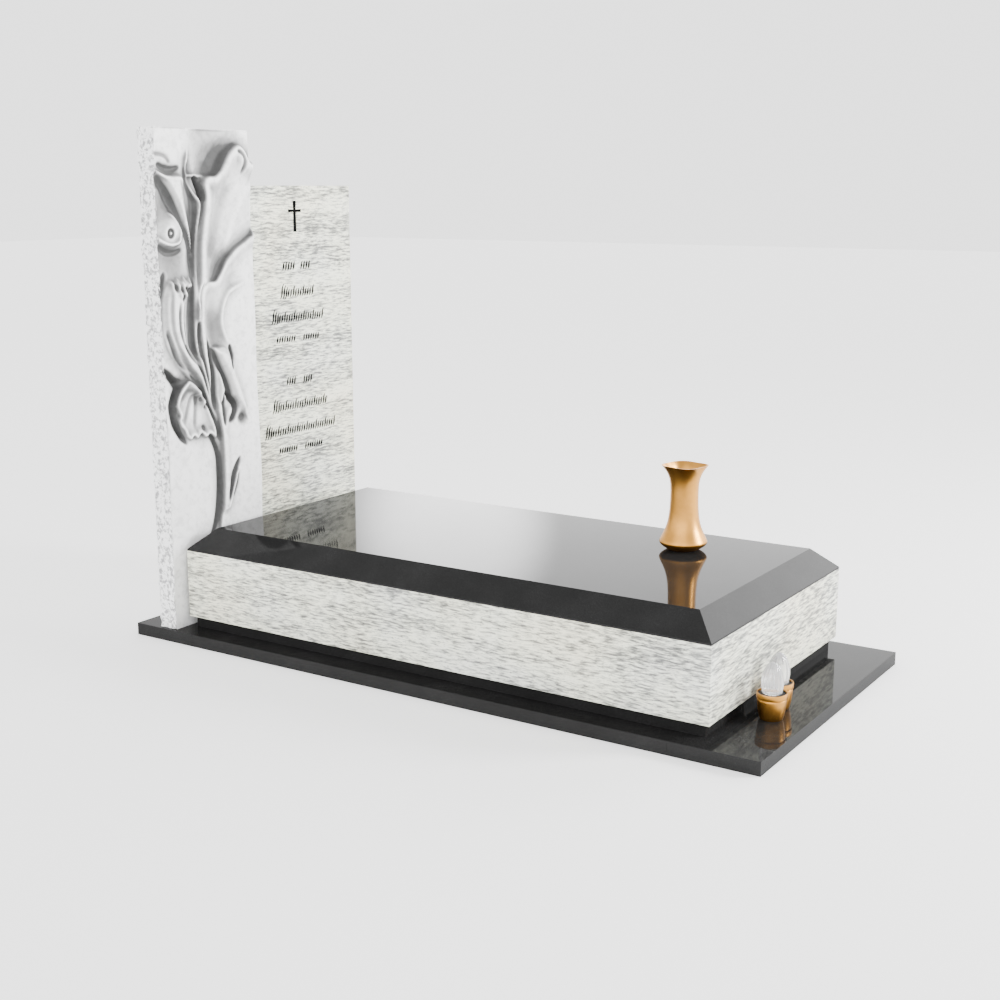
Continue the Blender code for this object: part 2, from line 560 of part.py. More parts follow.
def cross_outline():
    """Plain cross whose arms widen a little to their ends."""
    x = TEXT_MIDDLE
    top = INSCRIPTION_TOP - CROSS_FROM_TOP
    foot = top - CROSS_LENGTH
    z = top - 0.32 * CROSS_LENGTH
    post = 0.46 * CROSS_POST
    post_end = 0.54 * CROSS_POST
    bar = 0.44 * CROSS_BAR
    bar_end = 0.56 * CROSS_BAR
    arm = CROSS_SPAN / 2
    return ((x - post_end, top), (x - post, z + bar), (x - arm, z + bar_end), (x - arm, z - bar_end),
            (x - post, z - bar), (x - post_end, foot), (x + post_end, foot), (x + post, z - bar),
            (x + arm, z - bar_end), (x + arm, z + bar_end), (x + post, z + bar), (x + post_end, top))


def inscription_slab(surface):
    """A sawn slab with a cross and rows of strokes cut into its face."""
    low = (INSCRIPTION_LEFT, INSCRIPTION_FACE, ON_BASE)
    high = (INSCRIPTION_RIGHT, INSCRIPTION_FACE + INSCRIPTION_THICK, INSCRIPTION_TOP)
    slab = block("inscription_slab", low, high, surface)
    shape = bmesh.new()
    for outline in [cross_outline()] + inscription_strokes():
        front = [shape.verts.new((x, INSCRIPTION_FACE - 0.01, z)) for x, z in outline]
        back = [shape.verts.new((x, INSCRIPTION_FACE + ENGRAVING_DEPTH, z)) for x, z in outline]
        shape.faces.new(front)
        shape.faces.new(back[::-1])
        for i in range(len(outline)):
            n = (i + 1) % len(outline)
            shape.faces.new((front[n], front[i], back[i], back[n]))
    bmesh.ops.recalc_face_normals(shape, faces=shape.faces[:])
    cutter = finish_object("engraving_cutter", shape, surface)
    cutter.hide_render = True
    cutter.display_type = "WIRE"
    cut = slab.modifiers.new("engraving", "BOOLEAN")
    cut.object = cutter
    cut.solver = "EXACT"
    return slab


def turned(name, centre, profile, sides, surface, wave=None):
    """A closed turned body from a profile of radius and height that starts and ends on the axis."""
    shape = bmesh.new()
    rings = []
    for radius, height in profile:
        if radius == 0.0:
            rings.append([shape.verts.new((centre[0], centre[1], centre[2] + height))])
            continue
        ring = []
        for i in range(sides):
            angle = 2 * math.pi * i / sides
            grown = radius if wave is None else wave(radius, height, angle)
            ring.append(shape.verts.new((centre[0] + grown * math.cos(angle),
                                         centre[1] + grown * math.sin(angle), centre[2] + height)))
        rings.append(ring)
    for lower, upper in zip(rings, rings[1:]):
        for i in range(sides):
            n = (i + 1) % sides
            below = [lower[i % len(lower)], lower[n % len(lower)]]
            above = [upper[n % len(upper)], upper[i % len(upper)]]
            shape.faces.new(list(dict.fromkeys(below + above)))
    return finish_object(name, shape, surface, smooth=True)


def vase_radius(share):
    """Outer radius of the vase, as a share of its height, at a share of its height."""
    if share < 0.095:
        return 0.171 + (0.281 - 0.171) * math.sin(share / 0.095 * math.pi / 2)
    flare = 0.281 - 0.163
    waist = 0.163 + flare * math.exp(-((share - 0.095) / 0.175) ** 1.35)
    return waist + 0.091 * max(0.0, (share - 0.62) / 0.38) ** 3.2


def vase(surface):
    """A hollow flared vase on a narrow foot, its lip drawn out in four soft points."""
    shares = (0.0, 0.045, 0.095, 0.17, 0.26, 0.38, 0.55, 0.72, 0.83, 0.92, 1.0)
    outer = [(vase_radius(s) * VASE_HEIGHT, s * VASE_HEIGHT) for s in shares]
    inner = [(r - VASE_WALL, h) for r, h in reversed(outer) if h > VASE_FLOOR + 0.5 * VASE_WALL]
    profile = [(0.0, 0.0)] + outer + inner + [(inner[-1][0] - VASE_WALL, VASE_FLOOR), (0.0, VASE_FLOOR)]

    def lip(radius, height, angle):
        rise = max(0.0, height / VASE_HEIGHT - 0.80) / 0.20
        return radius * (1.0 + VASE_LIP_WAVE * rise ** 2 * math.cos(4 * (angle - math.radians(33))))

    centre = (VASE_X, SURROUND_FOOT + VASE_FROM_FOOT, COVER_TOP + GAP)
    return turned("vase", centre, profile, VASE_SIDES, surface, lip)


def cup_profile():
    """Bellied cup with a rim band and an inner ledge for the socket."""
    band = 0.80 * CUP_HEIGHT
    inner = CUP_RADIUS - CUP_WALL
    ledge = CUP_HEIGHT - SOCKET_DROP - SOCKET_THICK - GAP
    belly = 0.35 * CUP_HEIGHT
    outer = [(0.74 * CUP_RADIUS, 0.0), (0.84 * CUP_RADIUS, 0.10 * CUP_HEIGHT), (0.92 * CUP_RADIUS, belly),
             (0.95 * CUP_RADIUS, band), (CUP_RADIUS, band + CUP_WALL / 2), (CUP_RADIUS, CUP_HEIGHT)]
    inside = [(inner, CUP_HEIGHT), (inner, ledge), (inner - CUP_WALL, ledge),
              (0.86 * CUP_RADIUS - CUP_WALL, belly), (0.72 * CUP_RADIUS - CUP_WALL, CUP_FLOOR)]
    return [(0.0, 0.0)] + outer + inside + [(0.0, CUP_FLOOR)]


def flame_profile():
    """A pointed, full-bellied glass flame."""
    steps = 9
    profile = [(0.0, 0.0), (0.72 * FLAME_RADIUS, 0.0)]
    for i in range(1, steps):
        share = i / steps
        radius = FLAME_RADIUS * (1.0 - share) ** 0.62 * (0.82 + 1.42 * share) ** 0.9
        profile.append((radius, share * FLAME_HEIGHT))
    return profile + [(0.0, FLAME_HEIGHT)]


def candle_lamp(number, x, from_edge, bronze, black, glass):
    y = FOOT_EDGE + from_edge
    turned(f"lamp_{number}_cup", (x, y, ON_BASE), cup_profile(), LAMP_SIDES, bronze)
    radius = CUP_RADIUS - CUP_WALL - GAP
    bottom = ON_BASE + CUP_HEIGHT - SOCKET_DROP - SOCKET_THICK
    socket = [(0.0, 0.0), (radius, 0.0), (radius, SOCKET_THICK), (0.0, SOCKET_THICK)]
    turned(f"lamp_{number}_socket", (x, y, bottom), socket, LAMP_SIDES, black)

    def ribs(flame_radius, height, angle):
        return flame_radius * (1.0 + 0.05 * math.cos(FLAME_RIBS * angle))

    top = bottom + SOCKET_THICK + GAP
    turned(f"lamp_{number}_flame", (x, y, top), flame_profile(), LAMP_SIDES, glass, ribs)


def build():
    for old in list(bpy.data.objects):
        bpy.data.objects.remove(old)
    black = material("polished black granite", (0.012, 0.012, 0.013), 0.06)
    grey = material("light grey granite", (0.74, 0.75, 0.71), 0.30)
    white = material("carved white stone", (0.86, 0.86, 0.85), 0.60)
    bronze = material("satin bronze", (0.72, 0.44, 0.16), 0.32, metallic=1.0)
    socket = material("black socket", (0.02, 0.02, 0.02), 0.45)
    glass = material("clear glass", (0.96, 0.97, 0.98), 0.05, transmission=1.0)

    ring_frame("base", BASE_WIDTH / 2, FOOT_EDGE, -FOOT_EDGE, SIDE_STRIP_WIDTH, FOOT_SLAB_DEPTH,
               HEAD_SLAB_DEPTH, 0.0, BASE_THICK, black)
    ring_frame("plinth", SURROUND_WIDTH / 2 - PLINTH_RECESS, SURROUND_FOOT + PLINTH_RECESS,
               SURROUND_HEAD - PLINTH_RECESS, PLINTH_WIDTH, PLINTH_WIDTH, PLINTH_WIDTH,
               ON_BASE, SURROUND_BOTTOM, black)
    ring_frame("surround", SURROUND_WIDTH / 2, SURROUND_FOOT, SURROUND_HEAD, PANEL_THICK, PANEL_THICK,
               PANEL_THICK, SURROUND_BOTTOM + GAP, SURROUND_TOP, grey)
    cover_slab(black)
    carved_slab(white)
    inscription_slab(grey)
    vase(bronze)
    for number, (x, from_edge) in enumerate(zip(LAMP_X, LAMP_FROM_FOOT_EDGE), start=1):
        candle_lamp(number, x, from_edge, bronze, socket, glass)


build()
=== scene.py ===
import math

import bmesh
import bpy
import numpy as np
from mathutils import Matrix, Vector, noise


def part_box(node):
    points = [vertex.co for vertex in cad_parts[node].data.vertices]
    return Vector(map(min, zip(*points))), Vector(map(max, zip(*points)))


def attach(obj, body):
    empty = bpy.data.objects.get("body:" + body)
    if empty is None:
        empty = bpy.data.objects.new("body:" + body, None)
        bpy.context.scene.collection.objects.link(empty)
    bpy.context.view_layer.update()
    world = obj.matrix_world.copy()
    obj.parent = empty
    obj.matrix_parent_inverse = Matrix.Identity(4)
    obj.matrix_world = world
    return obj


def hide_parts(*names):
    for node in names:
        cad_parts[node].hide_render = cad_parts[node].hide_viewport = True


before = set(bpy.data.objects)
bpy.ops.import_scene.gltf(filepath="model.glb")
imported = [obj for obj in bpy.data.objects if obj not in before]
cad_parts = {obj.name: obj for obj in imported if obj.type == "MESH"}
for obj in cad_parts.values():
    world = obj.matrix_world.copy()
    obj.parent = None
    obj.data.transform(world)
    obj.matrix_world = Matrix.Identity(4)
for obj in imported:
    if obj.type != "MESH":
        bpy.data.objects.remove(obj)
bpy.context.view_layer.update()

# Carved slab
carved_low, carved_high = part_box("carved_slab")
CARVED_WIDTH = 0.405
CARVED_HEIGHT = carved_high[2] - carved_low[2]
CARVED_THICK = 0.067
CARVED_LEFT = -0.498
CARVED_BACK = carved_high[1]
CARVED_FACE = CARVED_BACK - CARVED_THICK
CARVED_FOOT = carved_low[2]
CARVING_COLUMNS = 150
CARVING_ROWS = 560
SIDE_COLUMNS = 14

# Its split side: depth and size of the facets, the chips and the grit
ROCK_DEPTH = 0.0045
ROCK_GRAIN = 0.060
CHIP_DEPTH = 0.0040
CHIP_GRAIN = 0.024
GRIT_DEPTH = 0.0022
GRIT_GRAIN = 0.009
ROCK_SLICE = 0.37

# Its relief: low beside the cover and free over it, none at the foot, less along the edges
COVER_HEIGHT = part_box("cover_slab")[1][2] - CARVED_FOOT
LOW_RELIEF = 0.011
FREE_RELIEF = 0.05
FREE_START = 0.01
FREE_RISE = 0.10
PLAIN_FOOT = 0.08
FOOT_RISE = 0.12
EDGE_BAND = 0.006
EDGE_SHARE = 0.35
CURVE_STEPS = 5
SOFTENING_PASSES = 2

# Painted shade in its hollows: the slopes are looked at in these directions and distances,
# and whatever lies under the face gets more painted shade too
SKY_DIRECTIONS = 12
SKY_REACHES = (0.003, 0.006, 0.010, 0.015, 0.022, 0.032, 0.045)
SUNK_SHADE = 0.17
SUNK_START = 0.004
SUNK_RANGE = 0.016

# Inscription slab: its strokes and cross
inscription_low, inscription_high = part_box("inscription_slab")
INSCRIPTION_FACE = inscription_low[1]
INSCRIPTION_TOP = inscription_high[2]
TEXT_MIDDLE = (CARVED_LEFT + CARVED_WIDTH + inscription_high[0]) / 2
ENGRAVING_DEPTH = 0.002
CUTTER_FRONT = 0.01
STROKE_SPACING = 0.0122
STROKE_WIDTH = 0.0092
STROKE_SLANT = 0.36
STROKE_SWAY = 0.05
STROKE_STEPS = 6
CROSS_LENGTH = 0.103
CROSS_SPAN = 0.067
CROSS_POST = 0.0155
CROSS_BAR = 0.0092
CROSS_BAR_SHARE = 0.32
CROSS_FROM_TOP = 0.050

# Rows of strokes: distance under the slab's top, half width, height, half of the gap in the middle
STROKE_ROWS = (
    (0.266, 0.069, 0.028, 0.016),
    (0.357, 0.084, 0.027, 0.0),
    (0.441, 0.132, 0.027, 0.0),
    (0.512, 0.109, 0.022, 0.018),
    (0.657, 0.065, 0.028, 0.016),
    (0.743, 0.141, 0.027, 0.0),
    (0.827, 0.183, 0.027, 0.0),
    (0.892, 0.113, 0.022, 0.018),
)

# Paint in the strokes: how far behind the face it lies, how far from the middle, and its tone
PAINT_FROM = 0.0002
PAINT_TO = 0.004
PAINTED_HALF_WIDTH = 0.21
PAINT_TONE = (0.006, 0.006, 0.006)
PAINT_ROUGHNESS = 0.95

# Bronze vase; its radii and the heights where they change are shares of its height
VASE_HEIGHT = 0.252
VASE_WALL = 0.003
VASE_FLOOR = 0.012
VASE_SIDES = 72
VASE_RINGS = 48
VASE_FOOT = 0.171
VASE_BELLY = 0.281
VASE_WAIST = 0.163
VASE_FLARE = 0.091
BELLY_AT = 0.095
FLARE_FROM = 0.62
LIP_FROM = 0.80
LIP_WAVE = 0.09
LIP_TURN = 33

# Candle lamps
CUP_HEIGHT = 0.072
CUP_RADIUS = 0.0405
CUP_WALL = 0.003
CUP_FLOOR = 0.005
CUP_STEPS = 14
SOCKET_THICK = 0.006
SOCKET_DROP = 0.004
GAP = 0.0003
FLAME_HEIGHT = 0.086
FLAME_RADIUS = 0.029
FLAME_RIBS = 14
FLAME_STEPS = 26
RIB_DEPTH = 0.04
LAMP_SIDES = 84

# Chamfers of the sawn stones
BASE_EDGE = 0.0012
PANEL_EDGE = 0.0010
COVER_EDGE = 0.0015

# Light granite: cells in a metre of its streaks, bands and specks, and its surface
STREAK_SCALE = (27.0, 27.0, 180.0)
BAND_SCALE = (1.9, 1.9, 14.0)
SPECK_SCALE = (95.0, 95.0, 240.0)
STREAK_BEND = 0.009
GRANITE_ROUGHNESS = 0.40
GRANITE_SHINE = 0.35

# Room: brightness of the walls by height, and windows that show above a sill. Each window has
# its direction, inner and outer angle in degrees, and brightness.
WALL_LEVEL = 4.0
WALL_TONES = ((0.0, (0.62,)), (0.12, (0.62,)), (0.17, (0.95,)), (0.26, (0.70,)), (0.5, (0.36,)),
              (1.0, (0.32,)))
WINDOW_SILL = ((0.12, (0.0,)), (0.16, (1.0,)))
WINDOWS = (
    ((0.90, -0.235, 0.375), 8, 20, 10.0),
    ((0.800, 0.556, 0.229), 1.0, 4.4, 13.0),
    ((0.865, 0.42, 0.25), 4, 22, 3.7),
    ((-0.92, -0.20, 0.35), 10, 50, 2.6),
)
KEY_PLACE = (2.4, -5.0, 2.4)
KEY_AIM = (-0.3, 0.9, 0.8)
KEY_SIZE = 1.4
KEY_POWER = 560.0
FLOOR_SIZE = 30.0
FLOOR_TONE = 0.84
FLOOR_GLOW = 0.8

# Camera
CAMERA_PLACE = (-3.6402, -2.3382, 1.3998)
CAMERA_FORWARD = (0.82104, 0.53098, -0.20967)
CAMERA_LENS = 52.47
CAMERA_SENSOR = 36.0


class Nodes:
    """Short hand for building a node tree."""

    def __init__(self, tree):
        self.tree = tree

    def fill(self, socket, value):
        """Link another socket to this one, or give it a plain value."""
        if isinstance(value, bpy.types.NodeSocket):
            self.tree.links.new(value, socket)
        elif socket.type == "RGBA":
            socket.default_value = (*value, 1.0)
        else:
            socket.default_value = value

    def add(self, kind, inputs=None, **settings):
        node = self.tree.nodes.new(kind)
        for name, value in settings.items():
            setattr(node, name, value)
        for key, value in (inputs or {}).items():
            self.fill(node.inputs[key], value)
        return node

    def math(self, operation, first, second=0.0):
        return self.add("ShaderNodeMath", {0: first, 1: second}, operation=operation).outputs[0]

    def ramp(self, factor, stops):
        """Colours or single tones between stops; each stop has its place and its values."""
        node = self.add("ShaderNodeValToRGB", {0: factor})
        elements = node.color_ramp.elements
        while len(elements) < len(stops):
            elements.new(0.5)
        for element, (place, colour) in zip(elements, stops):
            element.position = place
            element.color = (*colour, 1.0) if len(colour) == 3 else (colour[0],) * 3 + (1.0,)
        return node.outputs[0]

    def mix(self, factor, first, second, blend="MIX"):
        inputs = {0: factor, 6: first, 7: second}
        return self.add("ShaderNodeMix", inputs, data_type="RGBA", blend_type=blend).outputs[2]

    def noise(self, vector, scale, detail, roughness, distortion=0.0):
        inputs = {"Vector": vector, "Scale": scale, "Detail": detail, "Roughness": roughness,
                  "Distortion": distortion}
        return self.add("ShaderNodeTexNoise", inputs).outputs["Fac"]

    def stretched(self, vector, scale):
        return self.add("ShaderNodeMapping", {"Vector": vector, "Scale": scale}).outputs[0]

    def bump(self, height, distance, strength):
        inputs = {"Height": height, "Distance": distance, "Strength": strength}
        return self.add("ShaderNodeBump", inputs).outputs[0]

    def finish(self, shader, **values):
        """Fill a shader's inputs; an underline in a name stands for a space."""
        for name, value in values.items():
            self.fill(shader.inputs[name.replace("_", " ")], value)


def new_material(name):
    made = bpy.data.materials.new(name)
    made.use_nodes = True
    nodes = Nodes(made.node_tree)
    shader = made.node_tree.nodes["Principled BSDF"]
    place = nodes.add("ShaderNodeTexCoord").outputs["Object"]
    return made, nodes, shader, place


def grey_granite():
    """Light granite with level grey streaks in loose bands, and faint warm patches."""
    made, nodes, shader, place = new_material("light_granite")
    bent = nodes.noise(place, 7.0, 2.0, 0.5)
    lifted = nodes.add("ShaderNodeCombineXYZ", {2: nodes.math("MULTIPLY", bent, STREAK_BEND)}).outputs[0]
    place = nodes.add("ShaderNodeVectorMath", {0: place, 1: lifted}, operation="ADD").outputs[0]
    streaks = nodes.noise(nodes.stretched(place, STREAK_SCALE), 1.0, 3.0, 0.62, 0.2)
    bands = nodes.noise(nodes.stretched(place, BAND_SCALE), 1.0, 3.0, 0.6, 0.4)
    specks = nodes.noise(nodes.stretched(place, SPECK_SCALE), 1.0, 2.0, 0.6)
    patches = nodes.noise(place, 3.2, 2.0, 0.5)
    veined = nodes.math("ADD", nodes.math("MULTIPLY", streaks, 0.70), nodes.math("MULTIPLY", bands, 0.30))
    colour = nodes.ramp(veined, ((0.37, (0.14, 0.143, 0.135)), (0.44, (0.33, 0.335, 0.305)),
                                 (0.50, (0.63, 0.64, 0.56)), (0.57, (0.85, 0.86, 0.75))))
    dark = nodes.ramp(specks, ((0.32, (0.50,)), (0.42, (1.0,))))
    colour = nodes.mix(0.8, colour, dark, "MULTIPLY")
    tint = nodes.ramp(patches, ((0.36, (0.965, 0.97, 1.0)), (0.50, (1.0, 1.0, 0.965)),
                                (0.70, (1.0, 0.965, 0.89))))
    colour = nodes.mix(1.0, colour, tint, "MULTIPLY")
    nodes.finish(shader, Base_Color=colour, Normal=nodes.bump(veined, 0.0004, 0.35),
                 Roughness=GRANITE_ROUGHNESS, Specular_IOR_Level=GRANITE_SHINE)
    return made


def painted_granite():
    """The light granite with black paint in whatever is cut into its face."""
    made = grey_granite()
    made.name = "painted_granite"
    nodes = Nodes(made.node_tree)
    shader = made.node_tree.nodes["Principled BSDF"]
    place = nodes.add("ShaderNodeNewGeometry").outputs["Position"]
    parts = nodes.add("ShaderNodeSeparateXYZ", {0: place}).outputs
    depth = nodes.math("SUBTRACT", parts[1], INSCRIPTION_FACE)
    aside = nodes.math("ABSOLUTE", nodes.math("SUBTRACT", parts[0], TEXT_MIDDLE))
    behind_face = nodes.math("GREATER_THAN", depth, PAINT_FROM)
    in_cut = nodes.math("MULTIPLY", behind_face, nodes.math("LESS_THAN", depth, PAINT_TO))
    painted = nodes.math("MULTIPLY", in_cut, nodes.math("LESS_THAN", aside, PAINTED_HALF_WIDTH))
    stone = shader.inputs["Base Color"].links[0].from_socket
    nodes.finish(shader, Base_Color=nodes.mix(painted, stone, PAINT_TONE),
                 Roughness=nodes.ramp(painted, ((0.0, (GRANITE_ROUGHNESS,)), (1.0, (PAINT_ROUGHNESS,)))),
                 Specular_IOR_Level=nodes.ramp(painted, ((0.0, (GRANITE_SHINE,)), (1.0, (0.0,)))))
    return made


def black_granite():
    """Polished black granite: near black with a faint grain, mirror smooth."""
    made, nodes, shader, place = new_material("polished_black_granite")
    grain = nodes.noise(place, 420.0, 2.0, 0.6)
    cloud = nodes.noise(place, 9.0, 3.0, 0.5)
    mixed = nodes.math("ADD", nodes.math("MULTIPLY", grain, 0.7), nodes.math("MULTIPLY", cloud, 0.3))
    colour = nodes.ramp(mixed, ((0.35, (0.008, 0.008, 0.008)), (0.62, (0.017, 0.017, 0.017)),
                                (0.76, (0.042, 0.042, 0.044))))
    rough = nodes.ramp(cloud, ((0.3, (0.035,)), (0.7, (0.07,))))
    nodes.finish(shader, Base_Color=colour, Roughness=rough, IOR=1.08, Specular_Tint=(8.0, 8.0, 8.0))
    return made


def white_stone():
    """White carved stone with painted shade in the relief's hollows and low parts, and mottled rock on
    the split side.
    """
    made, nodes, shader, place = new_material("carved_white_stone")
    cloud = nodes.noise(nodes.stretched(place, (6.0, 6.0, 3.0)), 1.0, 4.0, 0.55, 0.5)
    grain = nodes.noise(place, 300.0, 3.0, 0.6)
    colour = nodes.ramp(cloud, ((0.35, (0.87, 0.87, 0.87)), (0.60, (0.95, 0.95, 0.945))))
    split = nodes.add("ShaderNodeAttribute", attribute_name="split").outputs["Fac"]
    chips = nodes.noise(place, 82.0, 3.5, 0.62, 0.3)
    chipped = nodes.ramp(chips, ((0.38, (0.30, 0.30, 0.305)), (0.46, (0.58, 0.58, 0.58)),
                                 (0.52, (0.93, 0.93, 0.93)), (0.62, (0.97, 0.97, 0.97))))
    dents = nodes.noise(place, 48.0, 3.0, 0.6, 0.3)
    mottled = nodes.ramp(dents, ((0.36, (0.80,)), (0.48, (0.94,)), (0.58, (1.0,))))
    colour = nodes.mix(1.0, colour, mottled, "MULTIPLY")
    colour = nodes.mix(split, colour, chipped)
    tooled = nodes.math("ADD", nodes.math("MULTIPLY", grain, 0.25), nodes.math("MULTIPLY", dents, 0.9))
    pits = nodes.math("ADD", tooled, nodes.math("MULTIPLY", chips, split))
    # Painted shade: the hollow attribute darkens the colour where the relief sees little sky or lies
    # under the face
    painted_shade = nodes.add("ShaderNodeAttribute", attribute_name="hollow").outputs["Fac"]
    shade = nodes.ramp(painted_shade, ((0.05, (1.0,)), (0.15, (0.66,)), (0.26, (0.30,)), (0.42, (0.06,))))
    colour = nodes.mix(1.0, colour, shade, "MULTIPLY")
    nodes.finish(shader, Base_Color=colour, Normal=nodes.bump(pits, 0.0016, 0.6), Roughness=0.62)
    return made


def bronze():
    """Satin bronze with slight brushing and a darker tone in patches."""
    made, nodes, shader, place = new_material("satin_bronze")
    cloud = nodes.noise(place, 38.0, 3.0, 0.6)
    brushing = nodes.noise(nodes.stretched(place, (60.0, 60.0, 900.0)), 1.0, 2.0, 0.5)
    colour = nodes.ramp(cloud, ((0.3, (0.49, 0.228, 0.042)), (0.7, (0.57, 0.272, 0.054))))
    rough = nodes.ramp(brushing, ((0.3, (0.30,)), (0.7, (0.40,))))
    nodes.finish(shader, Base_Color=colour, Roughness=rough, Normal=nodes.bump(brushing, 0.0002, 0.08),
                 Metallic=1.0)
    return made


def socket_black():
    """Dull black of the discs under the flames."""
    made, nodes, shader, place = new_material("socket_black")
    grain = nodes.noise(place, 260.0, 2.0, 0.5)
    colour = nodes.ramp(grain, ((0.3, (0.010, 0.010, 0.010)), (0.7, (0.028, 0.027, 0.026))))
    nodes.finish(shader, Base_Color=colour, Roughness=0.50, Specular_IOR_Level=0.10)
    return made


def clear_glass():
    """Clear glass with a slight ripple."""
    made, nodes, shader, place = new_material("clear_glass")
    ripple = nodes.bump(nodes.noise(place, 45.0, 2.0, 0.5), 0.0006, 0.25)
    nodes.finish(shader, Normal=ripple, Base_Color=(0.985, 0.985, 0.99), Roughness=0.07, IOR=1.45,
                 Transmission_Weight=0.76)
    return made


def placed(name, data):
    """A new object in the scene."""
    made = bpy.data.objects.new(name, data)
    bpy.context.scene.collection.objects.link(made)
    return made


def mesh_object(name, shape):
    """A new object from an edited mesh, which is freed."""
    mesh = bpy.data.meshes.new(name)
    shape.to_mesh(mesh)
    shape.free()
    return placed(name, mesh)


def stand(made, place, forward):
    """Stand a camera or a lamp at a place, facing along a direction."""
    made.location = place
    made.rotation_euler = forward.to_track_quat("-Z", "Y").to_euler()


def give(node, surface):
    """Dress a CAD node in a material."""
    node.data.materials.clear()
    node.data.materials.append(surface)


def soften_edges(node, width):
    """A small chamfer on a sawn stone's edges."""
    bevel = node.modifiers.new("worked edge", "BEVEL")
    bevel.width = width
    bevel.segments = 2
    bevel.limit_method = "ANGLE"
    bevel.angle_limit = math.radians(30)


def piece(name, shape, surface, replaced, smooth_angle):
    """A new piece on the root body, standing for CAD nodes."""
    made = mesh_object(name, shape)
    made.data.materials.append(surface)
    made.data.shade_smooth()
    made.data.set_sharp_from_angle(angle=math.radians(smooth_angle))
    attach(made, "root")
    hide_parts(*replaced)


def smoothstep(value):
    value = np.clip(value, 0.0, 1.0)
    return value * value * (3.0 - 2.0 * value)


def rounded_path(knots, closed=False):
    """Points in metres on a smooth curve through knots given in percent, with any third value kept."""
    scale = np.ones(len(knots[0]))
    scale[0] = CARVED_WIDTH / 100.0
    scale[1] = CARVED_HEIGHT / 100.0
    points = np.array(knots, float) * scale
    count = len(points)
    spans = count if closed else count - 1
    path = []
    for i in range(spans):
        if closed:
            before, start, end, after = (points[(i + k) % count] for k in (-1, 0, 1, 2))
        else:
            before, start = points[max(i - 1, 0)], points[i]
            end, after = points[i + 1], points[min(i + 2, count - 1)]
        for step in range(CURVE_STEPS):
            t = step / CURVE_STEPS
            bend = (2 * start + (end - before) * t + (2 * before - 5 * start + 4 * end - after) * t ** 2
                    + (3 * start - before - 3 * end + after) * t ** 3)
            path.append(bend / 2)
    if not closed:
        path.append(points[-1])
    return np.array(path)


def nearest(x, z, path, closed=False):
    """Distance from each point to a path, the path's third value there and the share passed."""
    best = np.full(x.shape, 1e9)
    value = np.zeros(x.shape)
    share = np.zeros(x.shape)
    ends = np.roll(path, -1, axis=0) if closed else path[1:]
    for i, (start, end) in enumerate(zip(path, ends)):
        step = end - start
        length = max(step[0] ** 2 + step[1] ** 2, 1e-12)
        t = np.clip(((x - start[0]) * step[0] + (z - start[1]) * step[1]) / length, 0.0, 1.0)
        distance = np.hypot(x - start[0] - t * step[0], z - start[1] - t * step[1])
        closer = distance < best
        best = np.where(closer, distance, best)
        share = np.where(closer, (i + t) / len(ends), share)
        if len(start) > 2:
            value = np.where(closer, start[2] + t * step[2], value)
    return best, value, share


def depth_inside(x, z, knots):
    """Distance inward from a closed outline, negative outside it."""
    path = rounded_path(knots, closed=True)
    distance, _, _ = nearest(x, z, path, closed=True)
    inside = np.zeros(x.shape, bool)
    for start, end in zip(path, np.roll(path, -1, axis=0)):
        crosses = (start[1] > z) != (end[1] > z)
        rise = end[1] - start[1]
        at = start[0] + (z - start[1]) / (rise if abs(rise) > 1e-12 else 1e-12) * (end[0] - start[0])
        inside ^= crosses & (x < at)
    return np.where(inside, distance, -distance)


class Relief:
    """One height over the slab's face, on a grid of x from its left edge and z from its foot.

    Knots, centres and the sizes of ovals are percent of the slab's width and height.
    """

    def __init__(self, x, z):
        self.x = x
        self.z = z
        self.height = np.zeros(x.shape)

    def petal(self, knots, level, reach, shoulder, rim=0.0, crown=0.0):
        """Lay on a petal: a steep edge, a rolled rim that dies away inward, a full middle."""
        depth = depth_inside(self.x, self.z, knots)
        inward = np.maximum(depth, 0.0)
        crest = 0.3 * reach
        spread = np.where(inward < crest, 0.4 * reach, 0.7 * reach)
        rolled = rim * np.exp(-((inward - crest) / spread) ** 2)
        surface = level + rolled + crown * smoothstep(inward / (2.0 * reach))
        self.height += (surface - self.height) * smoothstep(depth / shoulder + 0.35)

    def swell(self, centre, size, amount, turn=0.0):
        """Raise or sink a soft oval, turned by some degrees."""
        across = self.x - centre[0] * CARVED_WIDTH / 100.0
        along = self.z - centre[1] * CARVED_HEIGHT / 100.0
        angle = math.radians(turn)
        first = (across * math.cos(angle) + along * math.sin(angle)) / (size[0] * CARVED_WIDTH / 100.0)
        second = (along * math.cos(angle) - across * math.sin(angle)) / (size[1] * CARVED_HEIGHT / 100.0)
        self.height += amount * np.exp(-first ** 2 - second ** 2)

    def line(self, knots, amount, fade=0.2):
        """Raise a ridge or sink a groove that dies away at both ends.

        The third values of its knots are half widths in mm.
        """
        distance, width, share = nearest(self.x, self.z, rounded_path(knots))
        width = np.maximum(width * 0.001, 1e-4)
        fading = smoothstep(share / fade) * smoothstep((1.0 - share) / fade)
        self.height += amount * fading * np.exp(-(distance / width) ** 2)


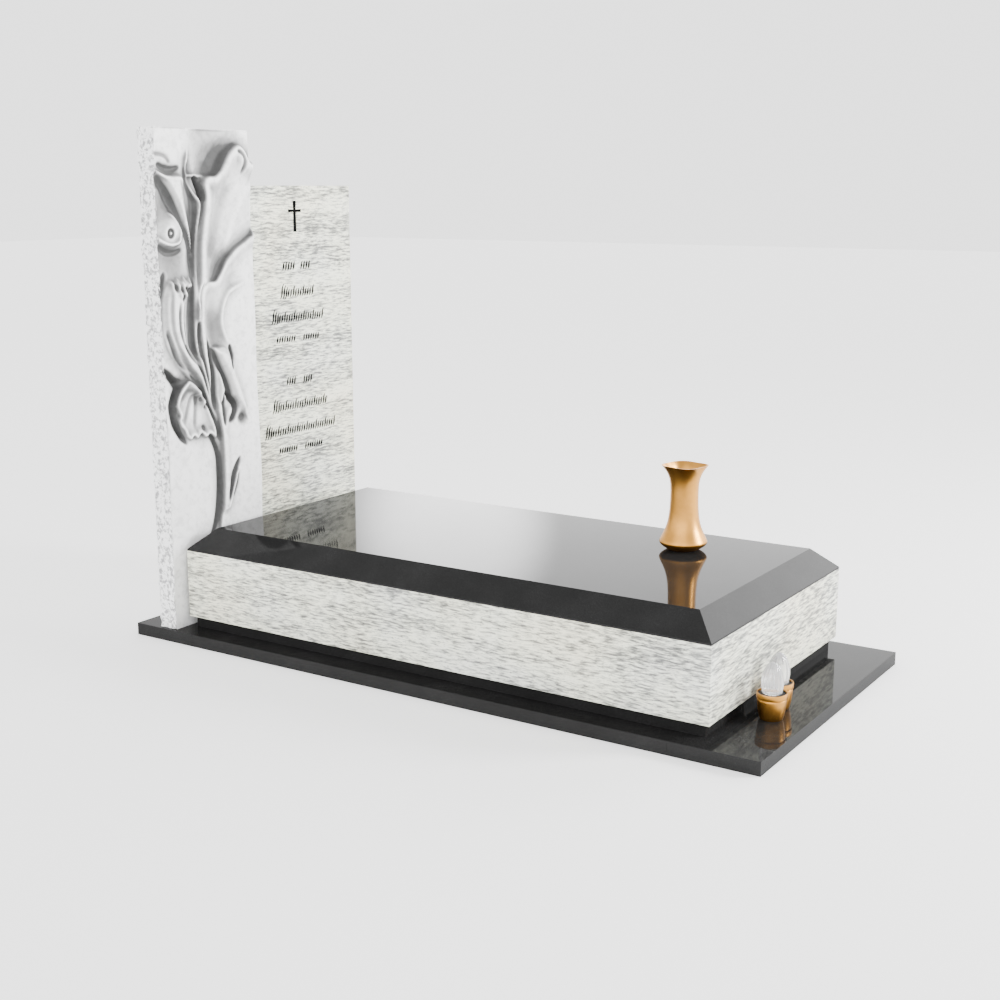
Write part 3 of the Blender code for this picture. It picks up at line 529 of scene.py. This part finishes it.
def carve_ground(relief):
    """The stone behind the flowers: slow waves, with the deepest hollow over the great flower."""
    u = relief.x / CARVED_WIDTH
    v = relief.z / CARVED_HEIGHT
    relief.height += 0.0018 * np.sin(9.0 * u + 5.0 * v) + 0.0016 * np.sin(21.0 * v - 4.0 * u)
    relief.swell((62, 94.2), (17, 3.3), -0.016, 32)
    relief.swell((46, 98), (12, 5.0), -0.006)
    relief.swell((33, 91.4), (4.5, 3.0), -0.008)
    relief.swell((35, 78), (4.5, 8.0), -0.014)
    relief.swell((9, 85), (10, 4.0), -0.009, -24)
    relief.swell((15, 74.2), (15, 2.6), -0.012)
    relief.swell((26, 28), (20, 12), 0.007)
    relief.swell((14, 97.4), (16, 3), 0.004)
    relief.line(((-3, 95, 6), (7, 94.8, 6), (12.6, 94.2, 6), (16, 93, 5)), -0.004)


def carve_upper_flower(relief):
    """The great open flower at the upper right, with the twisted edge of its leaf at the left."""
    hollow = ((34, 94.4, 5), (31.6, 91.8, 6), (33, 89, 6), (36.6, 86.8, 7), (38.6, 84.6, 8),
              (38.4, 81, 8), (36.8, 77, 8), (35.2, 73, 7), (34.4, 70, 5))
    relief.line(hollow, -0.010)
    outline = ((36.5, 62), (37.5, 68), (38.8, 71.5), (40, 76), (41.8, 79.3), (43.6, 82), (45.6, 84.4),
               (46.4, 86.6), (45.4, 88.8), (47.4, 90.4), (53.3, 91), (58.7, 91.2), (63.2, 92),
               (66.8, 93.3), (70.4, 94.9), (75.1, 96.2), (79.6, 97), (84.1, 97.4), (89, 97), (94, 95.8),
               (99, 94), (112, 92), (112, 70), (60, 60))
    relief.petal(outline, 0.0, rim=0.020, reach=0.048, shoulder=0.010)
    relief.swell((83, 92.8), (12, 5.0), 0.010, 20)
    relief.swell((63, 74), (11, 6.0), -0.007, 40)
    relief.line(((52, 74, 18), (62, 82, 22), (76, 90, 20)), -0.004)
    relief.line(((68, 75, 14), (84, 84, 20), (100, 90, 16)), 0.004)
    relief.line(((81, 96, 4), (87, 95.6, 6), (91, 94.6, 6), (91.2, 93, 6), (88, 91, 4)), -0.008)
    relief.line(((32, 90.9, 4), (38, 90.9, 5), (46, 90.8, 6), (56, 91, 6)), 0.007)
    relief.line(((39.4, 91, 4), (42.6, 89.4, 7), (45.4, 87.6, 7), (46.4, 85.6, 4)), -0.026)
    edge = ((35, 96.4, 4), (32.4, 93.6, 5), (32.4, 91.2, 5), (33.4, 89.2, 6), (38, 87.2, 6),
            (42, 86.1, 6), (42.8, 84.8, 6), (40.4, 81.6, 6), (38.4, 77.6, 6), (37.2, 73.4, 6),
            (36.6, 68.5, 6), (36.4, 63, 6), (37, 58, 5))
    relief.line(edge, 0.011, 0.08)


def carve_lower_flower(relief):
    """The second open flower at the right; its rolled rim runs on down as the long curved main stem."""
    relief.line(((43.4, 70.4, 4), (40, 67.8, 5), (38, 64.8, 5), (37.3, 61.5, 5), (37.6, 57, 3)), -0.008)
    outline = ((40.6, 68.7), (46.9, 70), (55.7, 70.2), (60.3, 71.2), (63.9, 72.4), (67.6, 73.9),
               (72.3, 75.1), (77.5, 76.2), (82.7, 77), (89.1, 77.8), (98, 79), (112, 80), (112, -10),
               (42, -10), (46, 10), (49.6, 16), (52, 19.6), (53.8, 22), (55.1, 24.6), (56.1, 27.7),
               (56.5, 30.9), (56.7, 34), (56.6, 36.8), (55.4, 39.8), (53.6, 42.4), (51, 45), (48, 47.6),
               (45, 50), (42.2, 52.4), (40.2, 54.8), (38.8, 57.4), (37.9, 60), (37.7, 62.8),
               (38.4, 65.4))
    relief.petal(outline, 0.006, rim=0.010, reach=0.034, shoulder=0.008)
    relief.swell((53.4, 60.4), (8.5, 5.5), -0.013, 8)
    relief.swell((72, 70.6), (14, 2.8), -0.006, 24)
    relief.swell((86, 62), (18, 9), 0.005)
    relief.swell((94, 30), (28, 13), 0.008)
    throat = ((94, 69.6, 8), (73, 68, 10), (64.4, 65.4, 10), (61.8, 62.4, 10), (63.2, 59.8, 10),
              (70, 56.4, 7))
    relief.line(throat, 0.008)


def carve_side_flower(relief):
    """The small trumpet flower at the upper left with its curled lip, and the bud under it."""
    shadow = ((-6, 94, 8), (0, 90.4, 8), (6.4, 88.7, 9), (11, 87.1, 9), (15.4, 85.2, 9), (20, 83.1, 8),
              (25, 80.9, 7), (29.8, 78.4, 6), (34, 75.4, 5))
    relief.line(shadow, -0.009)
    outline = ((36, 74.8), (33.2, 77.6), (29.6, 80.2), (25, 82.5), (20.3, 84.5), (16.6, 86.2),
               (13, 87.7), (8.3, 89.3), (2.7, 90.8), (-4, 92.6), (4, 91.6), (10, 91), (15, 91),
               (20, 91.1), (25, 91), (27.4, 89.4), (28.8, 86.4), (30.4, 83.4), (32.6, 80.4),
               (35.4, 76.8))
    relief.petal(outline, 0.004, reach=0.011, crown=0.010, shoulder=0.006)
    relief.line(((-4, 92, 6), (6, 90.9, 7), (15, 90.5, 8), (24, 90.4, 8), (29, 88.4, 5)), 0.008)
    relief.line(((2, 93.2, 5), (9, 92.3, 8), (18, 92, 8), (26, 92.6, 5)), -0.009)
    relief.swell((13, 80.2), (8.5, 2.6), 0.013)
    centre_x = 0.130 * CARVED_WIDTH
    centre_z = 0.798 * CARVED_HEIGHT
    from_centre = np.hypot(relief.x - centre_x, 0.85 * (relief.z - centre_z))
    relief.height -= 0.012 * np.exp(-((from_centre - 0.0085) / 0.0042) ** 2)
    relief.line(((11, 84, 4), (19, 82.6, 5), (23.6, 80.4, 5), (22, 78.2, 5)), 0.006)
    relief.line(((-6, 80, 5), (2, 78.5, 7), (11, 77.6, 7), (19, 77.8, 6), (25, 78.8, 4)), 0.010)
    relief.line(((-2, 77.8, 6), (8, 76.2, 8), (18, 76, 8), (25, 76.8, 5)), -0.008)


def carve_middle_flower(relief):
    """The frilled flower at the left, whose folds run down into the bundle of stems."""
    relief.line(((7, 72.6, 6), (2, 69.8, 8), (-1.6, 66.4, 8), (-2, 63, 7), (-1.6, 60, 5)), -0.015)
    outline = ((9.6, 70.8), (6.2, 69.9), (3.2, 68.7), (1.4, 67.2), (0.6, 65.2), (0.5, 63.2),
               (0.8, 60.8), (4, 57.8), (10.5, 55.2), (18, 52.8), (26, 50.6), (34, 48.2), (41, 45.4),
               (48, 42.2), (54, 38.8), (57, 38), (55, 41), (51, 44.6), (47, 48), (43, 51.2), (40, 54),
               (35.4, 55.4), (30.6, 56), (27, 57.4), (25.6, 60), (25.8, 62.8), (26.6, 64.8),
               (27.6, 66.7), (29.2, 68.2), (32, 69.6), (30.5, 71.2), (27, 70.6), (24, 71.4),
               (20.8, 70.5), (17.5, 71.2), (14, 70.4))
    relief.petal(outline, 0.004, reach=0.018, crown=0.019, shoulder=0.008)
    recess = ((34, 71, 4), (32, 68, 7), (31, 64.6, 8), (30.6, 61, 8), (31, 57.8, 8), (33.4, 54.8, 6),
              (38, 52, 4))
    relief.line(recess, -0.010)
    for u, v, radius in ((10.9, 70, 1.8), (16, 69.9, 2.0), (21.4, 70.1, 2.0), (26.4, 69.8, 2.0),
                         (30.4, 69.4, 1.7), (22.6, 67.8, 1.8), (16.6, 67.8, 1.6)):
        relief.swell((u, v), (radius, 0.45 * radius), 0.0042 * radius, 20)
    for u, v in ((13.4, 69.2), (18.8, 68.8), (24, 68.8), (28.2, 68.4), (19.6, 67.2)):
        relief.swell((u, v), (1.5, 0.6), -0.013)
    folds = (
        ((9, 69.4, 5), (7.6, 64.6, 6), (8.6, 60.4, 6), (15, 56.6, 5), (25, 53.4, 4)),
        ((16, 67, 5), (14.6, 63.4, 5), (15.4, 60.4, 5), (20, 57.4, 5), (29, 54.2, 4)),
        ((21.6, 66.6, 4), (19.8, 64, 5), (20, 61.4, 5), (23, 58.6, 4)),
    )
    for knots in folds:
        relief.line(knots, -0.007)


def carve_leaf(relief):
    """The drooping leaf at the lower left, its ragged edge standing clear over a dark gap."""
    gap = ((-4, 54, 5), (4, 52.4, 8), (11, 50.6, 10), (14, 49.6, 10), (9.6, 47.6, 10), (6.8, 45.8, 10),
           (7.6, 44, 10), (8.4, 42.4, 9), (11.4, 40.8, 8), (15.4, 39.2, 7), (21, 37.6, 4))
    relief.line(gap, -0.024, 0.12)
    relief.swell((14.6, 50.2), (5, 0.9), -0.010)
    outline = ((24.8, 50.7), (20.9, 50.2), (17, 49.4), (13.6, 48.4), (11.2, 47.2), (9.9, 45.9),
               (10.9, 44.9), (12.9, 43.8), (11.5, 42.9), (13.4, 41.6), (16.8, 40.6), (19.4, 39.2),
               (24.1, 38.4), (27, 39.1), (31, 38.4), (35, 39.4), (39.6, 38.4), (45, 38.8), (51, 37.8),
               (51, 40.8), (47, 42.8), (43, 45), (38, 47.4), (32, 49.4))
    relief.petal(outline, 0.002, rim=0.009, reach=0.018, shoulder=0.008)
    relief.swell((33.8, 47.8), (2.6, 0.6), 0.007, -25)
    relief.swell((38, 45.7), (1.9, 0.7), 0.008)
    relief.swell((31.4, 46.6), (1.7, 0.9), -0.007)
    relief.swell((36, 46.5), (1.2, 0.5), -0.010)
    relief.swell((40.4, 44.9), (1.3, 0.6), -0.010)
    relief.swell((38.4, 40.4), (2.2, 0.5), -0.010, -20)
    relief.swell((33, 40.2), (2.4, 0.6), 0.005, 20)
    for tip, bend in (((14, 46.2), 1.6), ((18, 41.6), 2.2), ((29, 40.4), 1.2)):
        middle = (0.5 * (tip[0] + 34), 0.5 * (tip[1] + 47.6) + bend)
        relief.line(((*tip, 6), (*middle, 7), (34, 47.6, 4)), -0.004)
    relief.line(((34, 49.4, 4), (41, 46.6, 6), (47, 43.6, 7), (52.4, 40.4, 7), (57, 36.8, 4)), -0.012)


def carve_bundle(relief):
    """Slender stems gathering into the main stem: the grooves between them, and the outermost stem."""
    grooves = (
        ((3, 61.4, 4), (7.4, 58.2, 5), (13.4, 55, 5), (22, 52.6, 4)),
        ((19, 58, 4), (25.6, 56, 6), (32, 53.8, 6), (39, 50.6, 4)),
        ((12, 56.8, 3), (24, 53, 5), (33, 50.4, 5), (42, 47.2, 5), (52, 42.6, 3)),
        ((32, 54.6, 3), (37.6, 51.6, 5), (42, 49.2, 6), (47, 46.4, 6), (53, 42.4, 4)),
        ((24, 52.2, 3), (33, 49.6, 4), (42, 46.2, 4), (50, 42.4, 3)),
    )
    for knots in grooves:
        relief.line(knots, -0.009)
    outer = ((35, 74, 4), (34.6, 70, 5), (34.2, 66, 6), (34.2, 61, 6), (35.2, 57, 6), (38.6, 53.6, 6),
             (43.2, 49.6, 6), (48.8, 45.4, 6), (53.6, 41, 6))
    relief.line(outer, 0.009)


def carve_small_petals(relief):
    """Half-open petals right of the stems, with dark throats."""
    right = ((51, 56.4), (57.6, 56.7), (64.3, 56.5), (70.8, 54.9), (74.8, 52.4), (78.9, 49.8),
             (83.4, 47), (87.6, 43.9), (90, 40), (85.8, 40.8), (79.8, 42.8), (74.3, 44.4), (70.6, 46),
             (66.6, 48.6), (62.6, 51), (57, 53.3))
    relief.petal(right, 0.010, reach=0.013, crown=0.009, shoulder=0.010)
    left = ((50, 56), (54.2, 53.9), (56.2, 51.7), (55.4, 49.3), (53.8, 47.3), (54.6, 45.6), (58, 44.6),
            (64.6, 46), (62.4, 48.2), (60, 50.4), (57.4, 52.6), (54.6, 54.8))
    relief.petal(left, 0.010, reach=0.010, crown=0.008, shoulder=0.008)
    relief.line(((45, 59, 4), (47.4, 55.6, 9), (49.6, 52.6, 11), (50.4, 49.6, 11), (51, 46.6, 8),
                 (53, 43.4, 4)), -0.028)
    relief.line(((49.6, 57, 3), (54.6, 54, 6), (59, 51.6, 7), (63.4, 49.2, 8), (66.8, 47, 7),
                 (70, 44.4, 4)), -0.015)
    throat = ((60, 47.6, 5), (66.5, 46, 8), (71.2, 44.8, 10), (73.4, 43.2, 10), (70.6, 41.8, 9),
              (65, 40.6, 5))
    relief.line(throat, -0.022)
    relief.line(((60.4, 47.4, 4), (59.4, 43.8, 7), (60.6, 40, 5)), -0.013)
    relief.swell((65.4, 43.1), (3.0, 1.3), 0.009, -20)
    relief.swell((81.6, 41.2), (4.5, 1.3), -0.013, -40)
    relief.line(((69.6, 57, 3), (71.4, 54.4, 6), (71, 51.6, 3)), -0.015)


def carve_lower_stems(relief):
    """The undercut left of the main stem, and the thin stem that leaves it at the right."""
    undercut = ((39, 40.4, 4), (46.6, 38.2, 6), (51, 36.4, 7), (53.6, 34.2, 7), (54.4, 31.6, 8),
                (54.2, 28.4, 8), (53.2, 25.6, 8), (51.6, 23, 8), (49, 20.4, 8), (43.6, 17.4, 7),
                (38, 15, 6))
    relief.line(undercut, -0.015)
    relief.line(((77, 33.4, 4), (71.7, 30.9, 8), (67.6, 29.1, 8), (65, 27, 6), (61, 23.6, 4)), -0.014)
    relief.line(((75.4, 32, 4), (72, 29.2, 6), (68.4, 27.2, 6), (64.5, 25, 7), (58, 21.6, 6),
                 (52, 17, 5)), 0.007)
    relief.line(((74, 30.2, 3), (71, 27.4, 5), (66, 24.6, 3)), -0.007)


def carving(x, z):
    """Height of the whole relief in front of the slab's face."""
    relief = Relief(x, z)
    for carve in (carve_ground, carve_upper_flower, carve_lower_flower, carve_side_flower,
                  carve_middle_flower, carve_leaf, carve_bundle, carve_small_petals, carve_lower_stems):
        carve(relief)
    allowed = LOW_RELIEF + FREE_RELIEF * smoothstep((z - COVER_HEIGHT - FREE_START) / FREE_RISE)
    height = np.minimum(relief.height, allowed)
    over_foot = smoothstep((z / CARVED_HEIGHT - PLAIN_FOOT) / FOOT_RISE)
    inside_edge = smoothstep(x / EDGE_BAND) * smoothstep((CARVED_HEIGHT - z) / EDGE_BAND)
    return height * over_foot * (EDGE_SHARE + (1.0 - EDGE_SHARE) * inside_edge)


def soften(height, passes):
    """Average each point with its neighbours, a few times over."""
    for _ in range(passes):
        padded = np.pad(height, 1, mode="edge")
        below_and_above = padded[:-2, 1:-1] + padded[2:, 1:-1]
        left_and_right = padded[1:-1, :-2] + padded[1:-1, 2:]
        height = 0.5 * height + 0.125 * (below_and_above + left_and_right)
    return height


def openness(relief, step):
    """Share of the sky that each point of the relief sees, from the slopes around it."""
    total = np.zeros(relief.shape)
    for k in range(SKY_DIRECTIONS):
        angle = 2.0 * math.pi * k / SKY_DIRECTIONS
        steepest = np.zeros(relief.shape)
        for reach in SKY_REACHES:
            shift = (round(reach * math.sin(angle) / step[1]), round(reach * math.cos(angle) / step[0]))
            padded = np.pad(relief, ((abs(shift[0]),) * 2, (abs(shift[1]),) * 2), mode="edge")
            top = abs(shift[0]) + shift[0]
            left = abs(shift[1]) + shift[1]
            moved = padded[top:top + relief.shape[0], left:left + relief.shape[1]]
            steepest = np.maximum(steepest, (moved - relief) / reach)
        total += 1.0 - np.sin(np.arctan(steepest))
    return total / SKY_DIRECTIONS


def rock(y, z):
    """Split rock face: broad facets, then chips, then grit."""
    place = Vector((y, z, ROCK_SLICE))
    broad = ROCK_DEPTH * noise.noise(place / ROCK_GRAIN, noise_basis="VORONOI_F2F1")
    chips = CHIP_DEPTH * noise.noise(place / CHIP_GRAIN, noise_basis="PERLIN_ORIGINAL")
    return broad + chips + GRIT_DEPTH * noise.noise(place / GRIT_GRAIN, noise_basis="PERLIN_ORIGINAL")


def carved_slab(surface):
    """The tall slab with its full relief in front and split rock at the left."""
    across = np.linspace(0.0, CARVED_WIDTH, CARVING_COLUMNS + 1)
    up = np.linspace(0.0, CARVED_HEIGHT, CARVING_ROWS + 1)
    grid_x, grid_z = np.meshgrid(across, up)
    relief = soften(carving(grid_x, grid_z), SOFTENING_PASSES)
    # Painted shade: the relief is darkened where it sees less sky and where it lies under the face; the
    # hollow layer carries this to the material
    under_face = np.clip((SUNK_START - relief) / SUNK_RANGE, 0.0, 1.0)
    painted_shade = 1.0 - openness(relief, (across[1], up[1])) + SUNK_SHADE * under_face
    shape = bmesh.new()
    split = shape.verts.layers.float.new("split")
    hollow = shape.verts.layers.float.new("hollow")
    rows = []
    for j, z in enumerate(up):
        row = []
        for k in range(SIDE_COLUMNS):
            y = CARVED_FACE + CARVED_THICK * (1 - k / SIDE_COLUMNS)
            vertex = shape.verts.new((CARVED_LEFT - rock(y, z), y, CARVED_FOOT + z))
            vertex[split] = 1.0
            row.append(vertex)
        for i, x in enumerate(across):
            edge = rock(CARVED_FACE, z) if i == 0 else 0.0
            y = CARVED_FACE - relief[j, i]
            vertex = shape.verts.new((CARVED_LEFT + x - edge, y, CARVED_FOOT + z))
            vertex[split] = 1.0 if i == 0 else 0.0
            vertex[hollow] = painted_shade[j, i]
            row.append(vertex)
        for x in (CARVED_LEFT + CARVED_WIDTH, CARVED_LEFT + ROCK_DEPTH):
            row.append(shape.verts.new((x, CARVED_BACK, CARVED_FOOT + z)))
        rows.append(row)
    count = len(rows[0])
    for lower, upper in zip(rows, rows[1:]):
        for i in range(count):
            n = (i + 1) % count
            shape.faces.new((lower[i], lower[n], upper[n], upper[i]))
    shape.faces.new(rows[0][::-1])
    shape.faces.new(rows[-1])
    piece("carved_slab_relief", shape, surface, ["carved_slab"], 50)


def stroke_outline(x, z, height):
    """One engraved stroke: slanted, slender at both ends, thickest past the middle."""
    left, right = [], []
    for i in range(STROKE_STEPS + 1):
        share = i / STROKE_STEPS
        sway = STROKE_SWAY * height * math.sin(2 * math.pi * share)
        middle = x + STROKE_SLANT * height * share + sway
        half = STROKE_WIDTH * (0.20 + 0.30 * math.sin(math.pi * share ** 0.9))
        left.append((middle - half, z + share * height))
        right.append((middle + half, z + share * height))
    return right + left[::-1]


def inscription_strokes():
    """Rows of plain slanted strokes; in rows without a gap in the middle some are taller."""
    outlines = []
    for down, half_width, tall, half_gap in STROKE_ROWS:
        count = round(2 * half_width / STROKE_SPACING)
        for i in range(count):
            from_middle = -half_width + 2 * half_width * i / (count - 0.5)
            if abs(from_middle) < half_gap:
                continue
            grown = 1.0
            if half_gap == 0.0:
                grown = (1.9, 1.7, 1.45)[i] if i < 3 else (1.35 if i % 4 == 1 else 1.0)
            foot = INSCRIPTION_TOP - down - tall / 2 - (grown > 1.4) * 0.2 * tall
            outlines.append(stroke_outline(TEXT_MIDDLE + from_middle, foot, tall * grown))
    return outlines


def cross_outline():
    """Plain cross whose arms widen a little to their ends."""
    x = TEXT_MIDDLE
    top = INSCRIPTION_TOP - CROSS_FROM_TOP
    foot = top - CROSS_LENGTH
    z = top - CROSS_BAR_SHARE * CROSS_LENGTH
    post = 0.46 * CROSS_POST
    post_end = 0.54 * CROSS_POST
    bar = 0.44 * CROSS_BAR
    bar_end = 0.56 * CROSS_BAR
    arm = CROSS_SPAN / 2
    return ((x - post_end, top), (x - post, z + bar), (x - arm, z + bar_end), (x - arm, z - bar_end),
            (x - post, z - bar), (x - post_end, foot), (x + post_end, foot), (x + post, z - bar),
            (x + arm, z - bar_end), (x + arm, z + bar_end), (x + post, z + bar), (x + post_end, top))


def inscription_slab(surface):
    """The sawn slab with its cross and dense rows of strokes cut into the face."""
    shape = bmesh.new()
    bmesh.ops.create_cube(shape, size=1.0)
    low = Vector(inscription_low)
    size = Vector(inscription_high) - low
    for vertex in shape.verts:
        vertex.co = Vector([(share + 0.5) * length for share, length in zip(vertex.co, size)]) + low
    slab = mesh_object("inscription_blank", shape)
    shape = bmesh.new()
    for outline in [cross_outline()] + inscription_strokes():
        front = [shape.verts.new((x, INSCRIPTION_FACE - CUTTER_FRONT, z)) for x, z in outline]
        back = [shape.verts.new((x, INSCRIPTION_FACE + ENGRAVING_DEPTH, z)) for x, z in outline]
        shape.faces.new(front)
        shape.faces.new(back[::-1])
        for i in range(len(outline)):
            n = (i + 1) % len(outline)
            shape.faces.new((front[n], front[i], back[i], back[n]))
    bmesh.ops.recalc_face_normals(shape, faces=shape.faces[:])
    cutter = mesh_object("engraving_cutter", shape)
    cut = slab.modifiers.new("engraving", "BOOLEAN")
    cut.object = cutter
    cut.solver = "EXACT"
    carved = slab.evaluated_get(bpy.context.evaluated_depsgraph_get()).to_mesh()
    shape = bmesh.new()
    shape.from_mesh(carved)
    bpy.data.objects.remove(slab)
    bpy.data.objects.remove(cutter)
    piece("inscription_slab_engraved", shape, surface, ["inscription_slab"], 20)


def turned(name, node, profile, sides, surface, wave=None):
    """A closed turned body over a solid's foot, from a profile of radius and height."""
    low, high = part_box(node)
    foot = Vector(((low[0] + high[0]) / 2, (low[1] + high[1]) / 2, low[2]))
    shape = bmesh.new()
    rings = []
    for radius, height in profile:
        if radius == 0.0:
            rings.append([shape.verts.new((foot.x, foot.y, foot.z + height))])
            continue
        ring = []
        for i in range(sides):
            angle = 2 * math.pi * i / sides
            grown = radius if wave is None else wave(radius, height, angle)
            x = foot.x + grown * math.cos(angle)
            y = foot.y + grown * math.sin(angle)
            ring.append(shape.verts.new((x, y, foot.z + height)))
        rings.append(ring)
    for lower, upper in zip(rings, rings[1:]):
        for i in range(sides):
            n = (i + 1) % sides
            below = [lower[i % len(lower)], lower[n % len(lower)]]
            above = [upper[n % len(upper)], upper[i % len(upper)]]
            shape.faces.new(list(dict.fromkeys(below + above)))
    bmesh.ops.recalc_face_normals(shape, faces=shape.faces[:])
    piece(name, shape, surface, [node], 35)


def vase_radius(share):
    """Outer radius of the vase at a share of its height."""
    if share < BELLY_AT:
        return VASE_FOOT + (VASE_BELLY - VASE_FOOT) * math.sin(share / BELLY_AT * math.pi / 2)
    narrowing = math.exp(-((share - BELLY_AT) / 0.175) ** 1.35)
    flaring = max(0.0, (share - FLARE_FROM) / (1.0 - FLARE_FROM)) ** 3.2
    return VASE_WAIST + (VASE_BELLY - VASE_WAIST) * narrowing + VASE_FLARE * flaring


def vase(surface):
    """A hollow flared vase on a narrow foot, its lip drawn out in four soft points."""
    shares = [i / VASE_RINGS for i in range(VASE_RINGS + 1)] + [0.008, BELLY_AT, 0.993]
    outer = [(vase_radius(s) * VASE_HEIGHT, s * VASE_HEIGHT) for s in sorted(shares)]
    inner = [(r - VASE_WALL, h) for r, h in reversed(outer) if h > VASE_FLOOR + 0.5 * VASE_WALL]
    profile = [(0.0, 0.0)] + outer + inner + [(inner[-1][0] - VASE_WALL, VASE_FLOOR), (0.0, VASE_FLOOR)]

    def lip(radius, height, angle):
        rise = max(0.0, height / VASE_HEIGHT - LIP_FROM) / (1.0 - LIP_FROM)
        return radius * (1.0 + LIP_WAVE * rise ** 2 * math.cos(4 * (angle - math.radians(LIP_TURN))))

    turned("vase_smooth", "vase", profile, VASE_SIDES, surface, lip)


def cup_profile():
    """Bellied cup with a rounded rim band and an inner ledge for the socket."""
    band = 0.78 * CUP_HEIGHT
    inner = CUP_RADIUS - CUP_WALL
    ledge = CUP_HEIGHT - SOCKET_DROP - SOCKET_THICK - GAP
    outer = []
    for i in range(CUP_STEPS + 1):
        share = i / CUP_STEPS
        radius = CUP_RADIUS * (0.74 + 0.21 * math.sin(share * math.pi / 2) ** 0.75)
        outer.append((radius, share * (band - 0.0015)))
    outer += [(0.925 * CUP_RADIUS, band), (0.985 * CUP_RADIUS, band + 0.0012),
              (CUP_RADIUS, band + 0.0030), (CUP_RADIUS, CUP_HEIGHT - 0.0014),
              (0.985 * CUP_RADIUS, CUP_HEIGHT)]
    inside = [(inner, CUP_HEIGHT), (inner, ledge), (inner - CUP_WALL, ledge),
              (0.86 * CUP_RADIUS - CUP_WALL, 0.35 * CUP_HEIGHT),
              (0.72 * CUP_RADIUS - CUP_WALL, CUP_FLOOR)]
    return [(0.0, 0.0)] + outer + inside + [(0.0, CUP_FLOOR)]


def flame_profile():
    """A pointed, full-bellied glass flame."""
    profile = [(0.0, 0.0), (0.72 * FLAME_RADIUS, 0.0)]
    for i in range(1, FLAME_STEPS):
        share = i / FLAME_STEPS
        radius = FLAME_RADIUS * (1.0 - share) ** 0.62 * (0.82 + 1.42 * share) ** 0.9
        profile.append((radius, share * FLAME_HEIGHT))
    return profile + [(0.0, FLAME_HEIGHT)]


def candle_lamp(number, metal, glass):
    """A bronze cup and its ribbed glass flame."""
    turned(f"lamp_{number}_cup_smooth", f"lamp_{number}_cup", cup_profile(), LAMP_SIDES, metal)

    def ribs(radius, height, angle):
        return radius * (1.0 + RIB_DEPTH * math.cos(FLAME_RIBS * angle))

    turned(f"lamp_{number}_flame_smooth", f"lamp_{number}_flame", flame_profile(), LAMP_SIDES, glass,
           ribs)


def camera():
    """View from the front left, a little above."""
    data = bpy.data.cameras.new("camera")
    data.sensor_width = CAMERA_SENSOR
    data.lens = CAMERA_LENS
    made = placed("camera", data)
    stand(made, CAMERA_PLACE, Vector(CAMERA_FORWARD))
    bpy.context.scene.camera = made


def floor():
    """A wide, flat, pale floor that glows a little."""
    shape = bmesh.new()
    bmesh.ops.create_grid(shape, x_segments=1, y_segments=1, size=FLOOR_SIZE)
    made = mesh_object("floor", shape)
    surface, nodes, shader, _ = new_material("floor_white")
    nodes.finish(shader, Base_Color=(FLOOR_TONE,) * 3, Roughness=0.9, Emission_Color=(1.0, 1.0, 1.0),
                 Emission_Strength=FLOOR_GLOW)
    made.data.materials.append(surface)


def key_light():
    """One large square lamp at the front right."""
    data = bpy.data.lights.new("key", "AREA")
    data.shape = "SQUARE"
    data.size = KEY_SIZE
    data.energy = KEY_POWER
    stand(placed("key", data), KEY_PLACE, Vector(KEY_AIM) - Vector(KEY_PLACE))


def glow(nodes, direction, aim, inner, outer, level):
    """Brightness of a soft round window in the sky: full within the inner angle, none past the outer."""
    aim = tuple(Vector(aim).normalized())
    cosine = nodes.add("ShaderNodeVectorMath", {0: direction, 1: aim}, operation="DOT_PRODUCT").outputs[1]
    edges = {"Value": cosine, "From Min": math.cos(math.radians(outer)),
             "From Max": math.cos(math.radians(inner)), "To Min": 0.0, "To Max": level}
    return nodes.add("ShaderNodeMapRange", edges, interpolation_type="SMOOTHSTEP").outputs[0]


def studio():
    """A white room: bright walls down low, a calmer ceiling, and four soft windows."""
    world = bpy.data.worlds.new("studio")
    bpy.context.scene.world = world
    world.use_nodes = True
    nodes = Nodes(world.node_tree)
    direction = nodes.add("ShaderNodeTexCoord").outputs["Generated"]
    height = nodes.add("ShaderNodeSeparateXYZ", {0: direction}).outputs[2]
    bright = nodes.math("MULTIPLY", nodes.ramp(height, WALL_TONES), WALL_LEVEL)
    above_sill = nodes.ramp(height, WINDOW_SILL)
    for window in WINDOWS:
        seen = nodes.math("MULTIPLY", above_sill, glow(nodes, direction, *window))
        bright = nodes.math("ADD", bright, seen)
    nodes.finish(world.node_tree.nodes["Background"], Color=(1.0, 1.0, 1.0), Strength=bright)


def dress_stones(black, grey):
    """The sawn stones of the base, the plinth and the surround, and the cover."""
    for name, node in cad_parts.items():
        if name.startswith(("base", "plinth")):
            give(node, black)
            soften_edges(node, BASE_EDGE)
        elif name.startswith("surround"):
            give(node, grey)
            soften_edges(node, PANEL_EDGE)
    give(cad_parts["cover_slab"], black)
    soften_edges(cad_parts["cover_slab"], COVER_EDGE)


camera()
floor()
studio()
key_light()
dress_stones(black_granite(), grey_granite())
inscription_slab(painted_granite())
carved_slab(white_stone())
satin_bronze = bronze()
vase(satin_bronze)
glass = clear_glass()
dull_black = socket_black()
for number in (1, 2):
    candle_lamp(number, satin_bronze, glass)
    give(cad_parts[f"lamp_{number}_socket"], dull_black)
